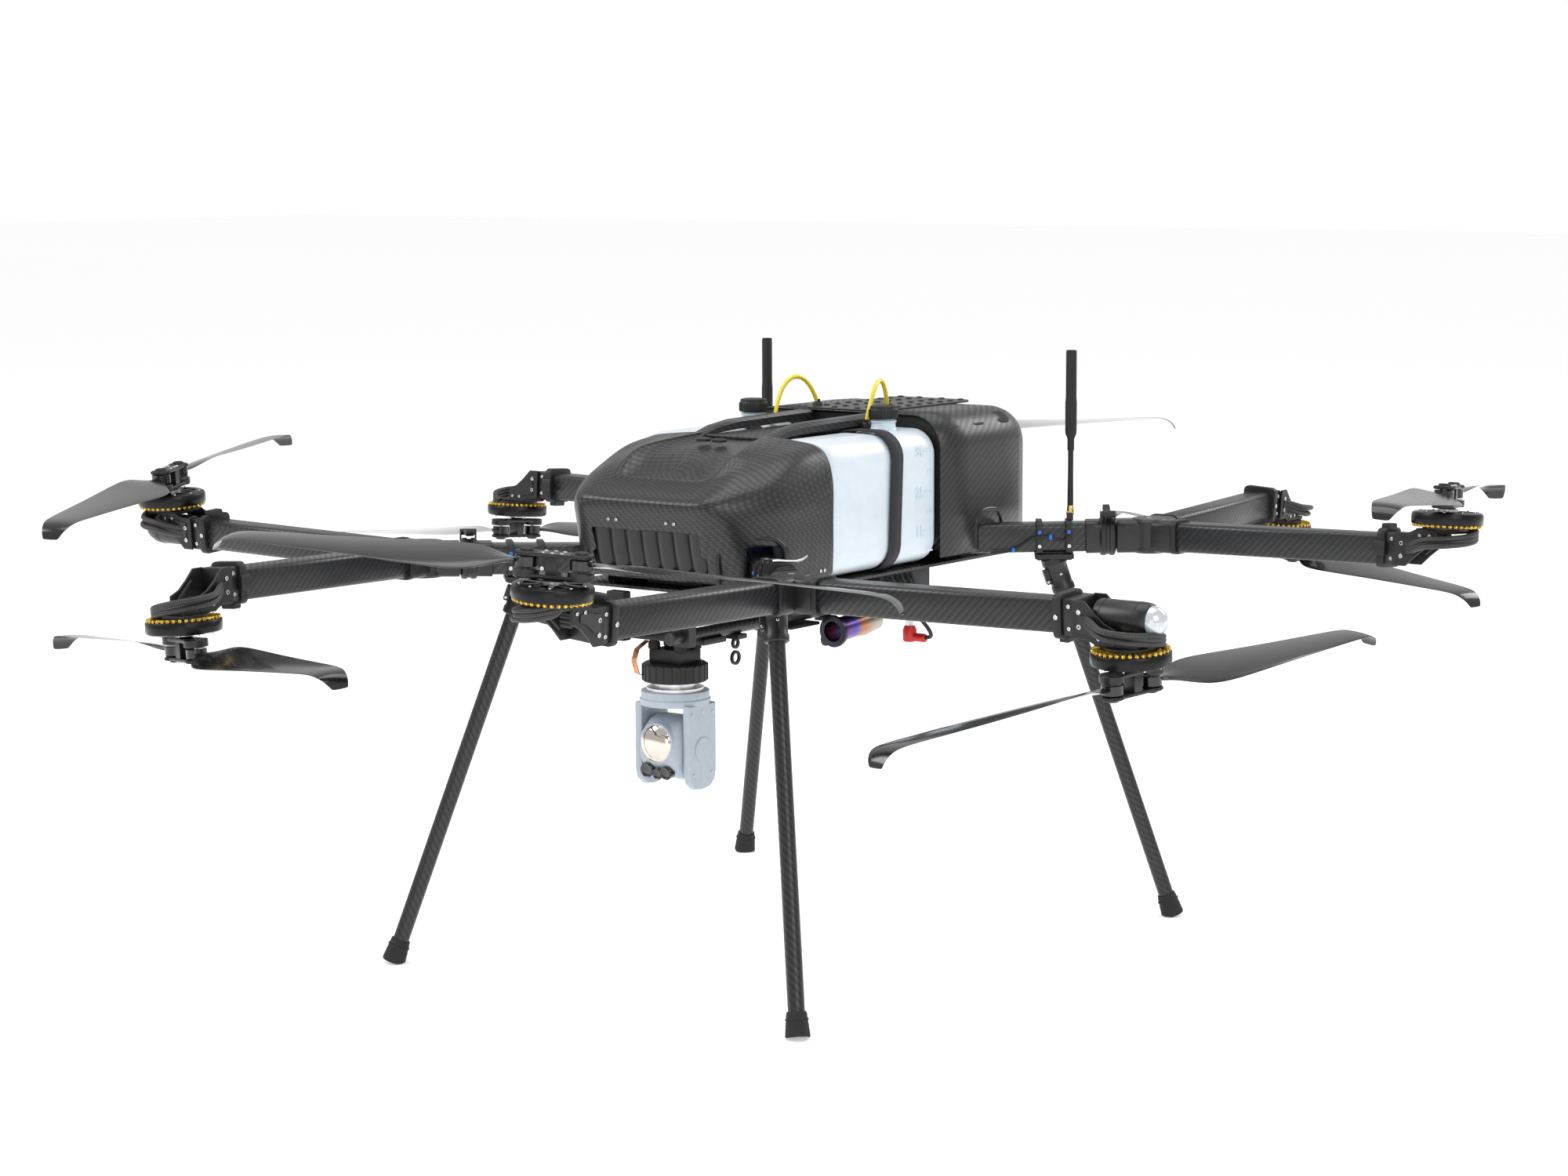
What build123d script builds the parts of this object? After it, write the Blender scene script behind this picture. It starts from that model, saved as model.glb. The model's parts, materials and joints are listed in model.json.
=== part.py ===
"""Hybrid octocopter with four folding-blade arm pairs, two fuel tanks and a camera gimbal.

Millimetres. +X is the aircraft's left, -Y its nose, +Z up. The ground is z = 0 and the origin
lies on it, midway between the feet.
"""
import math
import os

from build123d import *

os.makedirs("parts", exist_ok=True)

# ---- driving dimensions -------------------------------------------------------------------
# body
BODY_HALF_WIDTH = 153.0
NOSE_Y = -285.0
TANK_FRONT_Y = -97.0
TANK_REAR_Y = 134.0
REAR_Y = 361.0
BODY_BOTTOM_Z = 487.0
BODY_TOP_Z = 665.0
SHELL = 2.5
# tanks
TANK_INNER_X = 56.0
TANK_OUTER_X = 148.0
TANK_BOTTOM_Z = 480.0
TANK_TOP_Z = 650.0
CAP_X = 102.0
CAP_Y = 83.0
# booms, forks and arms
TUBE = 37.0
TUBE_WALL = 2.5
TUBE_CORNER = 6.0
BOOM_ROOT_X = 70.0
BOOM_ROOT_Z = 499.0
FORK_Z = 505.0
ARM_END_Z = 512.0
SLEEVE_BACK = 82.0
FORK_FACE = 42.0
SPIGOT = 31.0
LEG_BACK = 123.0
HINGE_PIN = 1.5
STRAP_SPREAD = 19.0
# motors and rotors, measured from the arm axis at the motor
CANT_DEG = 4.0
TUBE_END = 72.0
MOTOR_BASE_TOP = 32.0
BELL_BOTTOM = 34.0
BELL_TOP = 49.0
BELL_RADIUS = 43.55
SHAFT_RADIUS = 4.0
BLADE_Z = 70.5
PIVOT_RADIUS = 29.4
PIVOT_PIN = 2.5
ROTOR_RADIUS = 371.0
# legs
LEG_RADIUS = 10.0
LEG_TOP_Z = 474.0
FRONT_FOOT = (311.0, -392.0)
REAR_FOOT = (352.0, 392.0)
# gimbal
GIMBAL_Y = -216.0
TILT_Z = 280.0

# corner name: side, boom crossing, fork centre, foot, rotors (number, x, y, upright)
CORNERS = {
    "front_left": (1, (150, -229), (278, -357), FRONT_FOOT, ((4, 272, -770, True), (5, 723, -363, False))),
    "front_right": (-1, (150, -229), (278, -357), FRONT_FOOT, ((2, 272, -770, False), (1, 723, -350, True))),
    "rear_left": (1, (150, 242), (328, 360), REAR_FOOT, ((6, 743, 360, True), (7, 295, 785, False))),
    "rear_right": (-1, (150, 242), (328, 360), REAR_FOOT, ((3, 743, 360, False), (8, 295, 785, True))),
}
# rotor number: directions of its two blades at rest, degrees from +X
BLADE_ANGLES = {
    1: (294, 111),
    2: (160, 341),
    3: (259, 79),
    4: (204, 21),
    5: (257, 74),
    6: (284, 106),
    7: (342, 160),
    8: (23, 205),
}
# distance from the fold pin, chord, thickness, twist in degrees, sideways shift, drop
BLADE_SECTIONS = (
    (6, 20, 9, 0, 0, 0),
    (26, 30, 9, 10, -1, 0),
    (52, 58, 8, 17, -6, 0),
    (95, 66, 7, 15, -7, 0),
    (170, 58, 6, 11, -5, 0),
    (250, 48, 5, 8, -2, 0),
    (310, 40, 4, 6, 0, 0),
    (328, 35, 4, 5, 0, 3),
    (337, 28, 4, 4, 2, 10),
    (341, 20, 4, 3, 3, 18),
)
UP = Vector(0, 0, 1)


# ---- helpers ------------------------------------------------------------------------------
def save(name, *solids):
    """Write one node from its solids."""
    found = [solid for shape in solids for solid in shape.solids()]
    export_step(Compound(children=found), f"parts/{name}.step")


def along(start, end):
    """A plane at start whose z runs to end, x sideways and y as near up as it can."""
    direction = (Vector(*end) - Vector(*start)).normalized()
    return Plane(origin=start, x_dir=(-direction.Y, direction.X, 0), z_dir=direction)


def shifted(point, towards, distance):
    """The point at a distance from one point towards another."""
    start = Vector(*point)
    return tuple(start + (Vector(*towards) - start).normalized() * distance)


def block(x, y, z):
    """A box from its three ranges."""
    size = [high - low for low, high in (x, y, z)]
    centre = [(high + low) / 2 for low, high in (x, y, z)]
    return Pos(*centre) * Box(*size)


def rod(start, end, radius, bore=0.0):
    """A round bar or tube between two points."""
    length = (Vector(*end) - Vector(*start)).length
    section = Circle(radius)
    if bore:
        section -= Circle(bore)
    return extrude(along(start, end) * section, amount=length)


def square_bar(start, end, size, corner, bore=0.0):
    """A square bar with round corners between two points, hollow where a bore is given."""
    length = (Vector(*end) - Vector(*start)).length
    section = RectangleRounded(size, size, corner)
    if bore:
        section -= RectangleRounded(bore, bore, max(corner - (size - bore) / 2, 1.0))
    return extrude(along(start, end) * section, amount=length)


def both_sides(shape):
    """The shape and its mirror image across the centre plane."""
    return [shape, mirror(shape, about=Plane.YZ)]


def boom_points(corner):
    """Where a corner's boom starts, its fork stands and its leg meets it."""
    side, crossing, fork, foot, rotors = CORNERS[corner]
    slope = (crossing[1] - fork[1]) / (crossing[0] - fork[0])
    root_y = crossing[1] + (BOOM_ROOT_X - crossing[0]) * slope
    root = (side * BOOM_ROOT_X, root_y, BOOM_ROOT_Z)
    centre = (side * fork[0], fork[1], FORK_Z)
    return root, centre


def rotor_plane(corner, x, y, upright):
    """A plane at the motor on the arm axis, x outward along the arm and z towards the rotor."""
    side = CORNERS[corner][0]
    centre = Vector(*boom_points(corner)[1])
    outward = Vector(side * x - centre.X, y - centre.Y, 0).normalized()
    sideways = UP.cross(outward)
    cant = math.radians(CANT_DEG if upright else -CANT_DEG)
    axis = UP * math.cos(cant) + sideways * math.sin(cant)
    return Plane(origin=(side * x, y, ARM_END_Z), x_dir=outward, z_dir=axis if upright else axis * -1)


# ---- body shells --------------------------------------------------------------------------
def nose_solid(inset):
    """The nose fairing's outer form, drawn inwards by an inset."""
    wide = BODY_HALF_WIDTH - inset
    front = NOSE_Y + inset
    top = 651.0 - inset
    with BuildSketch(Plane.YZ) as side_view:
        with BuildLine():
            Polyline(
                (TANK_FRONT_Y, BODY_BOTTOM_Z),
                (-250, BODY_BOTTOM_Z),
                (front + 14, 502),
                (front, 524),
                (front + 3, 584 - inset),
                (-192, 640 - inset),
                (TANK_FRONT_Y, top),
                close=True,
            )
        make_face()
    with BuildSketch(Plane.XY) as plan:
        with BuildLine():
            Polyline(
                (-wide, TANK_FRONT_Y),
                (-wide, -190),
                (-100 + inset, front),
                (100 - inset, front),
                (wide, -190),
                (wide, TANK_FRONT_Y),
                close=True,
            )
        make_face()
    with BuildSketch(Plane.XZ) as front_view:
        with BuildLine():
            Polyline(
                (-wide, BODY_BOTTOM_Z),
                (-wide, 600 - inset),
                (-112 + inset, top),
                (112 - inset, top),
                (wide, 600 - inset),
                (wide, BODY_BOTTOM_Z),
                close=True,
            )
        make_face()
    solid = extrude(side_view.sketch, amount=200, both=True)
    solid &= extrude(plan.sketch, amount=900)
    solid &= extrude(front_view.sketch, amount=900, both=True)
    return solid


def boom_cutters(corners):
    """Arched openings around the booms where they leave the body."""
    cutters = []
    for corner in corners:
        root, centre = boom_points(corner)
        plane = along(root, centre)
        cutters.append(extrude(plane * RectangleRounded(46, 50, 8), amount=150))
    return cutters


def build_nose():
    shell = nose_solid(0) - nose_solid(SHELL)
    shell -= block((-200, 200), (TANK_FRONT_Y - 1, 0), (400, 800))
    shell -= block((-120, 120), (-262, 0), (400, BODY_BOTTOM_Z + 4))
    grille_gap = block((-88, 88), (-300, -255), (506, 548))
    shell -= grille_gap
    for cutter in boom_cutters(("front_left", "front_right")):
        shell -= cutter
    save("nose_fairing", shell)
    slats = block((-87, 87), (-280, -277), (507, 547))
    for number in range(8):
        x = -75 + number * 150 / 7
        slats += block((x - 1.2, x + 1.2), (-284.5, -270), (507, 547))
    save("nose_louvre_panel", slats)


def build_rear():
    outer = block((-BODY_HALF_WIDTH, BODY_HALF_WIDTH), (TANK_REAR_Y + 1, REAR_Y), (BODY_BOTTOM_Z, BODY_TOP_Z))
    outer = fillet(outer.edges().filter_by(Axis.Z).sort_by(Axis.Y)[-2:], 45)
    outer = fillet(outer.faces().sort_by(Axis.Z)[-1].edges(), 28)
    shell = outer
    inner = block(
        (-BODY_HALF_WIDTH + SHELL, BODY_HALF_WIDTH - SHELL),
        (TANK_REAR_Y - 20, REAR_Y - SHELL),
        (BODY_BOTTOM_Z - 5, BODY_TOP_Z - SHELL),
    )
    inner = fillet(inner.edges().filter_by(Axis.Z).sort_by(Axis.Y)[-2:], 42)
    inner = fillet(inner.faces().sort_by(Axis.Z)[-1].edges(), 25)
    shell -= inner
    for cutter in boom_cutters(("rear_left", "rear_right")):
        shell -= cutter
    save("rear_fairing", shell)


def build_tanks():
    tank = block((TANK_INNER_X, TANK_OUTER_X), (TANK_FRONT_Y + 1, TANK_REAR_Y - 1), (TANK_BOTTOM_Z, TANK_TOP_Z))
    tank = fillet(tank.edges().filter_by(Axis.Y), 20)
    tank = fillet(tank.faces().sort_by(Axis.Y)[0].edges(), 8)
    tank = fillet(tank.faces().sort_by(Axis.Y)[-1].edges(), 8)
    tank += Pos(CAP_X, CAP_Y, TANK_TOP_Z + 10) * Cylinder(14, 24)
    tank -= Pos(CAP_X, CAP_Y, TANK_TOP_Z + 12) * Cylinder(11, 24)
    save("fuel_tanks", *both_sides(tank))
    cap = Pos(CAP_X, CAP_Y, 672.5) * Cylinder(18, 17) - Pos(CAP_X, CAP_Y, 669) * Cylinder(14.05, 14)
    save("tank_cap_left", cap)
    save("tank_cap_right", mirror(cap, about=Plane.YZ))
    outline = Pos(CAP_X, 0) * RectangleRounded(TANK_OUTER_X - TANK_INNER_X + 5, 175.5, 21)
    hole = Pos(CAP_X, 0) * RectangleRounded(TANK_OUTER_X - TANK_INNER_X + 0.6, 171, 20)
    band = extrude(Plane.XZ * (Pos(0, 565) * (outline - hole)), amount=9, both=True)
    save("tank_straps", *both_sides(Pos(0, 41, 0) * band))


def build_chassis():
    plate = block((-140, 140), (-245, 350), (473, 476.5))
    for corner in CORNERS:
        root, centre = boom_points(corner)
        x, y, z = shifted(root, centre, 40)
        plate += Pos(x, y, 478.4) * Box(40, 40, 4)
    save("belly_plate", plate)
    rail = block((44, 66), (-94, TANK_REAR_Y - 1), (652, 662))
    rail += block((44, 52), (-94, TANK_REAR_Y - 1), (645, 662))
    deck = block((-60, 60), (136, 352), (BODY_TOP_Z + 0.5, 670))
    save("top_deck", deck, *both_sides(rail))


def build_payload_rails():
    solids = []
    for side in (1, -1):
        solids.append(rod((side * 50, -290, 424), (side * 50, 94, 424), 8, 6.5))
        for y in (-262, -98, 84):
            post = block((side * 50 - 13, side * 50 + 13), (y - 7, y + 7), (412, 472.5))
            solids.append(post - rod((side * 50, -300, 424), (side * 50, 120, 424), 8.02))
    plate = block((-62, 62), (-60, 0), (409, 413))
    for side in (1, -1):
        saddle = block((side * 50 - 11, side * 50 + 11), (-60, 0), (412, 430))
        plate += saddle - rod((side * 50, -300, 424), (side * 50, 120, 424), 8.02)
    for x in (-25, 25):
        for y in (-50, -10):
            plate -= Pos(x, y, 411) * Cylinder(2.1, 10)
    solids.append(plate)
    for side, y in ((1, -160), (1, 30), (-1, -160), (-1, 30)):
        tab = block((side * 50 - 1.5, side * 50 + 1.5), (y - 9, y + 9), (378, 415.5))
        for z in (386, 402):
            tab -= Pos(side * 50, y, z) * Rot(0, 90, 0) * Cylinder(4.5, 10)
        solids.append(tab)
    save("payload_rails", *solids)


def build_power():
    case = block((-40, 90), (95, 210), (425, 472.5))
    case = fillet(case.edges().filter_by(Axis.Y), 14)
    cylinder = Pos(70, 190, 411) * Cylinder(18, 28)
    for number in range(5):
        cylinder += Pos(70, 190, 400 + number * 5.5) * Cylinder(24, 2)
    plug = Pos(70, 190, 391) * Cylinder(6, 11)
    boot = Pos(70, 190, 375) * Cylinder(9, 20) + Pos(84, 190, 371) * Box(24, 11, 11)
    save("engine", case + cylinder, plug, boot)
    save("generator", Pos(0, 30, 530) * Cylinder(44, 80))
    mouth = (84, 0, 402)
    flange = (84, 88, 408)
    pipe = rod(mouth, flange, 15) + rod(shifted(mouth, flange, -3), shifted(mouth, flange, 2), 20)
    pipe -= rod(shifted(mouth, flange, -10), shifted(flange, mouth, -10), 13)
    save("exhaust_pipe", pipe)
    save("avionics_box", block((-42, 42), (-215, -135), (478, 515)))
    save("battery_pack", block((-42, 42), (-125, -35), (478, 535)))


HOSE_ROUTE = ((72, 88, 656), (73, 98, 690), (67, 124, 712), (59, 150, 699), (55, 160, 672))


def cord_tube(points, radius):
    """A round cord whose straight runs are joined by tangent arcs, with its arcs' radii."""
    runs = [(Vector(*b) - Vector(*a)) for a, b in zip(points, points[1:])]
    radii = []
    for before, after in zip(runs, runs[1:]):
        half_turn = math.radians(before.get_angle(after)) / 2
        radii.append(0.45 * min(before.length, after.length) / math.tan(half_turn))
    path = FilletPolyline(*points, radius=radii)
    section = Plane(origin=points[0], z_dir=runs[0]) * Circle(radius)
    print("cord radii", [round(value, 1) for value in radii], "length", round(path.length, 1))
    return sweep(section, path=path)


def build_hoses():
    hose = cord_tube(HOSE_ROUTE, 2.75)
    save("vent_hose_left", hose)
    save("vent_hose_right", mirror(hose, about=Plane.YZ))


def build_booms():
    booms = []
    brackets = []
    for corner, (side, crossing, fork, foot, rotors) in CORNERS.items():
        root, centre = boom_points(corner)
        end = shifted(centre, root, FORK_FACE + 0.5)
        boom = square_bar(root, end, TUBE, TUBE_CORNER, TUBE - 2 * TUBE_WALL)
        sleeve = square_bar(shifted(centre, root, SLEEVE_BACK), end, 42, 8, TUBE)
        ring = rod(shifted(centre, root, 64), shifted(centre, root, 44), 25.5)
        ring -= square_bar(shifted(centre, root, 66), shifted(centre, root, 40), TUBE, TUBE_CORNER)
        hinge = lever_plane(corner)
        lugs = Cylinder(HINGE_PIN, 20)
        for end_z in (-9.2, 9.2):
            lugs += Pos(2, -5, end_z) * Box(9, 17, 1.6)
        booms.append(boom + sleeve + ring + hinge.location * lugs)
        meeting = shifted(centre, root, LEG_BACK)
        top, foot_point = leg_axis(corner)
        bracket = None
        for spread in (-STRAP_SPREAD, STRAP_SPREAD):
            near = shifted(meeting, root, spread - 4)
            far = shifted(meeting, root, spread + 4)
            band = square_bar(far, near, 44, 7, TUBE + 0.2)
            bracket = band if bracket is None else bracket + band
        plane = along(root, centre)
        foot_plate = Plane(origin=meeting, x_dir=plane.x_dir, z_dir=plane.z_dir)
        bracket += foot_plate.location * (Pos(0, -22.5, 0) * Box(38, 6, 50))
        lift = shifted(top, foot_point, -2)
        socket_end = shifted(top, foot_point, 44)
        bracket += rod(lift, socket_end, 14)
        bracket -= rod(shifted(top, foot_point, 8), shifted(top, foot_point, 80), LEG_RADIUS + 0.35)
        brackets.append(bracket)
    save("booms", *booms)
    save("leg_brackets", *brackets)


def leg_axis(corner):
    """The leg's top point under its boom and its foot's centre on the ground."""
    side, crossing, fork, foot, rotors = CORNERS[corner]
    root, centre = boom_points(corner)
    meeting = shifted(centre, root, LEG_BACK)
    return (meeting[0], meeting[1], LEG_TOP_Z), (side * foot[0], foot[1], 0.0)


def build_legs():
    for corner in CORNERS:
        top, foot = leg_axis(corner)
        tube = rod(shifted(top, foot, 8.6), shifted(foot, top, 12), LEG_RADIUS, LEG_RADIUS - 1.5)
        plane = along(shifted(foot, top, 31), foot)
        boot = loft([plane * Circle(11.5), plane.offset(22) * Circle(14.2)])
        boot += loft([plane.offset(22) * Circle(14.2), plane.offset(40) * Circle(11)])
        boot -= rod(shifted(top, foot, 8.6), shifted(foot, top, 12), LEG_RADIUS)
        boot -= Pos(foot[0], foot[1], -50) * Box(200, 200, 100)
        save(f"leg_{corner}", tube, boot)


def build_forks():
    for corner, (side, crossing, fork, foot, rotors) in CORNERS.items():
        root, centre = boom_points(corner)
        hub = square_bar(shifted(centre, root, FORK_FACE), centre, 42, 8)
        hub += Pos(centre[0], centre[1], FORK_Z) * Cylinder(24, 42)
        pieces = []
        for number, x, y, upright in rotors:
            tip = (side * x, y, ARM_END_Z)
            hub += square_bar(centre, shifted(centre, tip, 48), TUBE + 3, 8)
            pieces.append(
                square_bar(shifted(centre, tip, 48), shifted(tip, centre, TUBE_END), TUBE, TUBE_CORNER, TUBE - 5)
            )
            pieces.append(
                square_bar(shifted(tip, centre, 81), shifted(tip, centre, TUBE_END + 0.5), 49, 4, TUBE + 0.2)
            )
            pieces += motor_mount(corner, number, x, y, upright)
        spigot_start = shifted(centre, root, FORK_FACE + 45)
        hub += square_bar(spigot_start, shifted(centre, root, FORK_FACE), SPIGOT, 4)
        hub -= square_bar(shifted(centre, root, 92), shifted(centre, root, 20), SPIGOT - 6, 3)
        save(f"fork_{corner}", hub, *pieces)


def motor_mount(corner, number, x, y, upright):
    """The bracket, stator and, on two arms, the light pod, at one motor."""
    place = rotor_plane(corner, x, y, upright).location
    mount = block((-TUBE_END + 1.6, -53), (-18.5, 18.5), (-18.5, 18.5))
    for side in (1, -1):
        plate = block((-58, -4), (side * 22 - 1.5, side * 22 + 1.5), (-20, 27))
        plate -= Pos(-8, side * 22, -14) * Rot(0, 45, 0) * Box(44, 8, 30)
        mount += plate
        mount += block((-58, -53), (min(side * 18, side * 22), max(side * 18, side * 22)), (-18, 18))
    mount += block((-30, 20), (-23.5, 23.5), (23.5, 27))
    base = Pos(0, 0, 29.5) * Cylinder(29.5, 5) - Pos(0, 0, 30) * Cylinder(SHAFT_RADIUS + 0.05, 40)
    mount -= Pos(0, 0, 30) * Cylinder(SHAFT_RADIUS + 2, 40)
    stator = Pos(0, 0, 38.25) * Cylinder(40, 9.5) - Pos(0, 0, 38) * Cylinder(26, 12)
    stator += Pos(0, 0, 36) * Cylinder(27, 8) - Pos(0, 0, 36) * Cylinder(SHAFT_RADIUS + 0.05, 30)
    stator -= Pos(0, 0, 36) * Cylinder(SHAFT_RADIUS + 0.05, 30)
    pieces = [place * mount, place * (base + stator)]
    if number in (1, 5):
        pod = Pos(-4, 0, 0) * Rot(0, 90, 0) * Cylinder(19.8, 66)
        pod += Pos(29, 0, 0) * Sphere(16)
        pieces.append(place * (pod - block((-60, -30), (-40, 40), (20, 40))))
    return pieces


def build_rotors():
    for corner, (side, crossing, fork, foot, rotors) in CORNERS.items():
        for number, x, y, upright in rotors:
            plane = rotor_plane(corner, x, y, upright)
            first = BLADE_ANGLES[number][0]
            save(f"rotor_{number}", plane.location * (Rot(0, 0, hub_turn(plane, first)) * hub_solid()))
            for letter, angle in zip("ab", BLADE_ANGLES[number]):
                blade = blade_plane(plane, first, angle, upright, letter)
                save(f"blade_{number}_{letter}", blade.location * blade_solid(upright))


def hub_turn(plane, angle):
    """How far the hub bar is turned in the rotor's own frame to lie along a compass angle."""
    target = plane.to_local_coords(Vector(math.cos(math.radians(angle)), math.sin(math.radians(angle)), 0) + plane.origin)
    return math.degrees(math.atan2(target.Y, target.X))


def blade_plane(plane, first, angle, upright, letter):
    """The plane at a blade's fold pin, x along the blade and z along the thrust."""
    turn = math.radians(hub_turn(plane, first) + (0 if letter == "a" else 180))
    pin = plane.from_local_coords(
        Vector(PIVOT_RADIUS * math.cos(turn), PIVOT_RADIUS * math.sin(turn), BLADE_Z)
    )
    thrust = plane.z_dir if upright else plane.z_dir * -1
    heading = Vector(math.cos(math.radians(angle)), math.sin(math.radians(angle)), 0)
    heading = (heading - thrust * heading.dot(thrust)).normalized()
    return Plane(origin=pin, x_dir=heading, z_dir=thrust)


def hub_solid():
    """The motor bell, its shaft and the two-armed clamp that holds the blade pins."""
    bell = Pos(0, 0, (BELL_BOTTOM + BELL_TOP) / 2) * Cylinder(BELL_RADIUS, BELL_TOP - BELL_BOTTOM)
    bell -= Pos(0, 0, 39) * Cylinder(BELL_RADIUS - 2.6, 14)
    for number in range(8):
        bell -= Rot(0, 0, number * 45) * (Pos(28, 0, 48) * Box(18, 7, 8))
    bell += Pos(0, 0, (30 + 56) / 2) * Cylinder(SHAFT_RADIUS, 26)
    bell += Pos(0, 0, 51.5) * Cylinder(12, 6)
    bar = Pos(0, 0, 56.5) * Box(58.8, 24, 5)
    core = Pos(0, 0, 68) * Box(12, 20, 19)
    top = Pos(0, 0, 79) * Box(58.8, 22, 4) - Pos(0, 0, 79) * Box(34, 12, 8)
    for side in (1, -1):
        x = side * PIVOT_RADIUS
        bar += Pos(x, 0, 58.5) * Cylinder(14, 9)
        top += Pos(x, 0, 79) * Cylinder(12, 4)
        top += Pos(x, 0, 82) * Cylinder(5, 2.5)
        bar += Pos(x, 0, 70) * Cylinder(PIVOT_PIN, 20)
    return bell + bar + core + top


def blade_solid(upright):
    """One blade about its fold pin, tip turned down; an upper rotor turns clockwise."""
    sections = []
    for reach, chord, thick, twist, shift, drop in BLADE_SECTIONS:
        lean = math.radians(twist)
        plane = Plane(origin=(reach, shift, -drop), x_dir=(0, math.cos(lean), math.sin(lean)), z_dir=(1, 0, 0))
        sections.append(plane * Ellipse(chord / 2, thick / 2))
    blade = loft(sections) + Cylinder(12, 11.4)
    blade -= Cylinder(PIVOT_PIN + 0.05, 30)
    return mirror(blade, about=Plane.XZ) if upright else blade


def build_levers():
    for corner in CORNERS:
        root, centre = boom_points(corner)
        hinge = lever_plane(corner)
        lever = Cylinder(4, 16) + Pos(22, 0, 0) * Box(36, 4, 14)
        lever -= Cylinder(HINGE_PIN + 0.05, 30)
        lever += Pos(42, 3, 0) * Box(8, 8, 14)
        save(f"cam_lever_{corner}", hinge.location * lever)


def lever_plane(corner):
    """The plane at a cam lever's hinge: z along the boom, x over the ring, y up."""
    root, centre = boom_points(corner)
    plane = along(shifted(centre, root, 54), centre)
    return Plane(origin=plane.from_local_coords(Vector(-20, 30.5, 0)), x_dir=plane.x_dir, z_dir=plane.z_dir)


def build_antennas():
    solids = []
    for side in (1, -1):
        root, centre = boom_points("rear_left" if side > 0 else "rear_right")
        base = shifted(centre, root, LEG_BACK - STRAP_SPREAD - 2)
        x, y, z = base
        foot = z + 22.5
        mast = Pos(x, y, foot + 4) * Box(20, 22, 8)
        mast += Pos(x, y, foot + 12) * Cylinder(3.5, 10)
        mast += Pos(x, y, foot + 52) * Cylinder(4, 76)
        mast += Pos(x, y, foot + 154) * Cylinder(7.5, 128)
        solids.append(mast)
    save("antennas", *solids)
    root, centre = boom_points("rear_left")
    plane = along(root, centre)
    length = (Vector(*centre) - Vector(*root)).length
    route = []
    for back, height in ((205, -17), (176, -14), (150, 1), (128, 2), (112, -3), (100, 6)):
        route.append(tuple(plane.from_local_coords(Vector(-24.2, height, length - back))))
    save("antenna_cable", cord_tube(route, 1.5))


def build_gimbal():
    mount = block((-62, 62), (GIMBAL_Y - 22, GIMBAL_Y + 22), (411, 430))
    for side in (1, -1):
        mount -= rod((side * 50, -300, 424), (side * 50, 0, 424), 8.02)
    mount += block((-24, 24), (GIMBAL_Y - 20, GIMBAL_Y + 20), (383, 412))
    mount += Pos(0, GIMBAL_Y, 372) * Cylinder(41, 23)
    mount -= Pos(0, GIMBAL_Y, 362) * Cylinder(25.05, 10)
    save("gimbal_mount", mount)
    turret = Pos(0, GIMBAL_Y, 359.5) * Cylinder(25, 12)
    turret += Pos(0, GIMBAL_Y, 351) * Cylinder(35, 9)
    turret += Pos(0, GIMBAL_Y, 340) * Cylinder(43, 16)
    for side in (1, -1):
        cheek = Pos(side * 37, GIMBAL_Y, TILT_Z + 5) * Box(10, 52, 110)
        cheek = fillet(cheek.faces().sort_by(Axis.Z)[0].edges().filter_by(Axis.X), 25)
        turret += cheek
        turret -= Pos(side * 37, GIMBAL_Y, TILT_Z) * Rot(0, 90, 0) * Cylinder(8.05, 30)
    save("gimbal_turret", turret)
    camera = Pos(0, GIMBAL_Y, TILT_Z) * Rot(0, 90, 0) * Cylinder(40, 62)
    camera -= block((-40, 40), (GIMBAL_Y - 60, GIMBAL_Y - 34), (200, 360))
    camera += Pos(0, GIMBAL_Y - 34, TILT_Z + 8) * Rot(90, 0, 0) * Cylinder(23, 8)
    camera += Pos(0, GIMBAL_Y, TILT_Z) * Rot(0, 90, 0) * Cylinder(8, 80)
    save("gimbal_camera", camera)


build_nose()
build_rear()
build_tanks()
build_chassis()
build_payload_rails()
build_power()
build_hoses()
build_booms()
build_legs()
build_forks()
build_rotors()
build_levers()
build_antennas()
build_gimbal()
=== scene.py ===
import json
import math

import bmesh
import bpy
from mathutils import Matrix, Vector


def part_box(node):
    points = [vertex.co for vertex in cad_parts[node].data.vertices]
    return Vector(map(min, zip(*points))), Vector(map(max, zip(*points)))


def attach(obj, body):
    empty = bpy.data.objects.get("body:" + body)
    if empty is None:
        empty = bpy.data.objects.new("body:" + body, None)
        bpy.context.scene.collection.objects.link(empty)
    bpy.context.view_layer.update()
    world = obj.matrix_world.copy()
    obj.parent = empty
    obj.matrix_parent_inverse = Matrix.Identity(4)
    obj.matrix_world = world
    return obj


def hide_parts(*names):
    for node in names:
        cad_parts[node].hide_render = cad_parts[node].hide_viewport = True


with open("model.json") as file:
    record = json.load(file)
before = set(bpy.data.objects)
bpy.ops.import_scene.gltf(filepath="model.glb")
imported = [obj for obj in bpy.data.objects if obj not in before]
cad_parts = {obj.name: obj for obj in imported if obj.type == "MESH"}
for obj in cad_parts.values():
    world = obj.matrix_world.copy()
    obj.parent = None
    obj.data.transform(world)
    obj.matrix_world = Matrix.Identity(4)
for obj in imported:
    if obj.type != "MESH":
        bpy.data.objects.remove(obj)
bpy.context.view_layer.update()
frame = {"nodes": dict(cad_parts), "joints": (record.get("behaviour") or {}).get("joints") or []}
JOINTS = {j["name"]: j for j in frame["joints"]}
Z = Vector((0, 0, 1))
MM = 0.001


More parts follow.
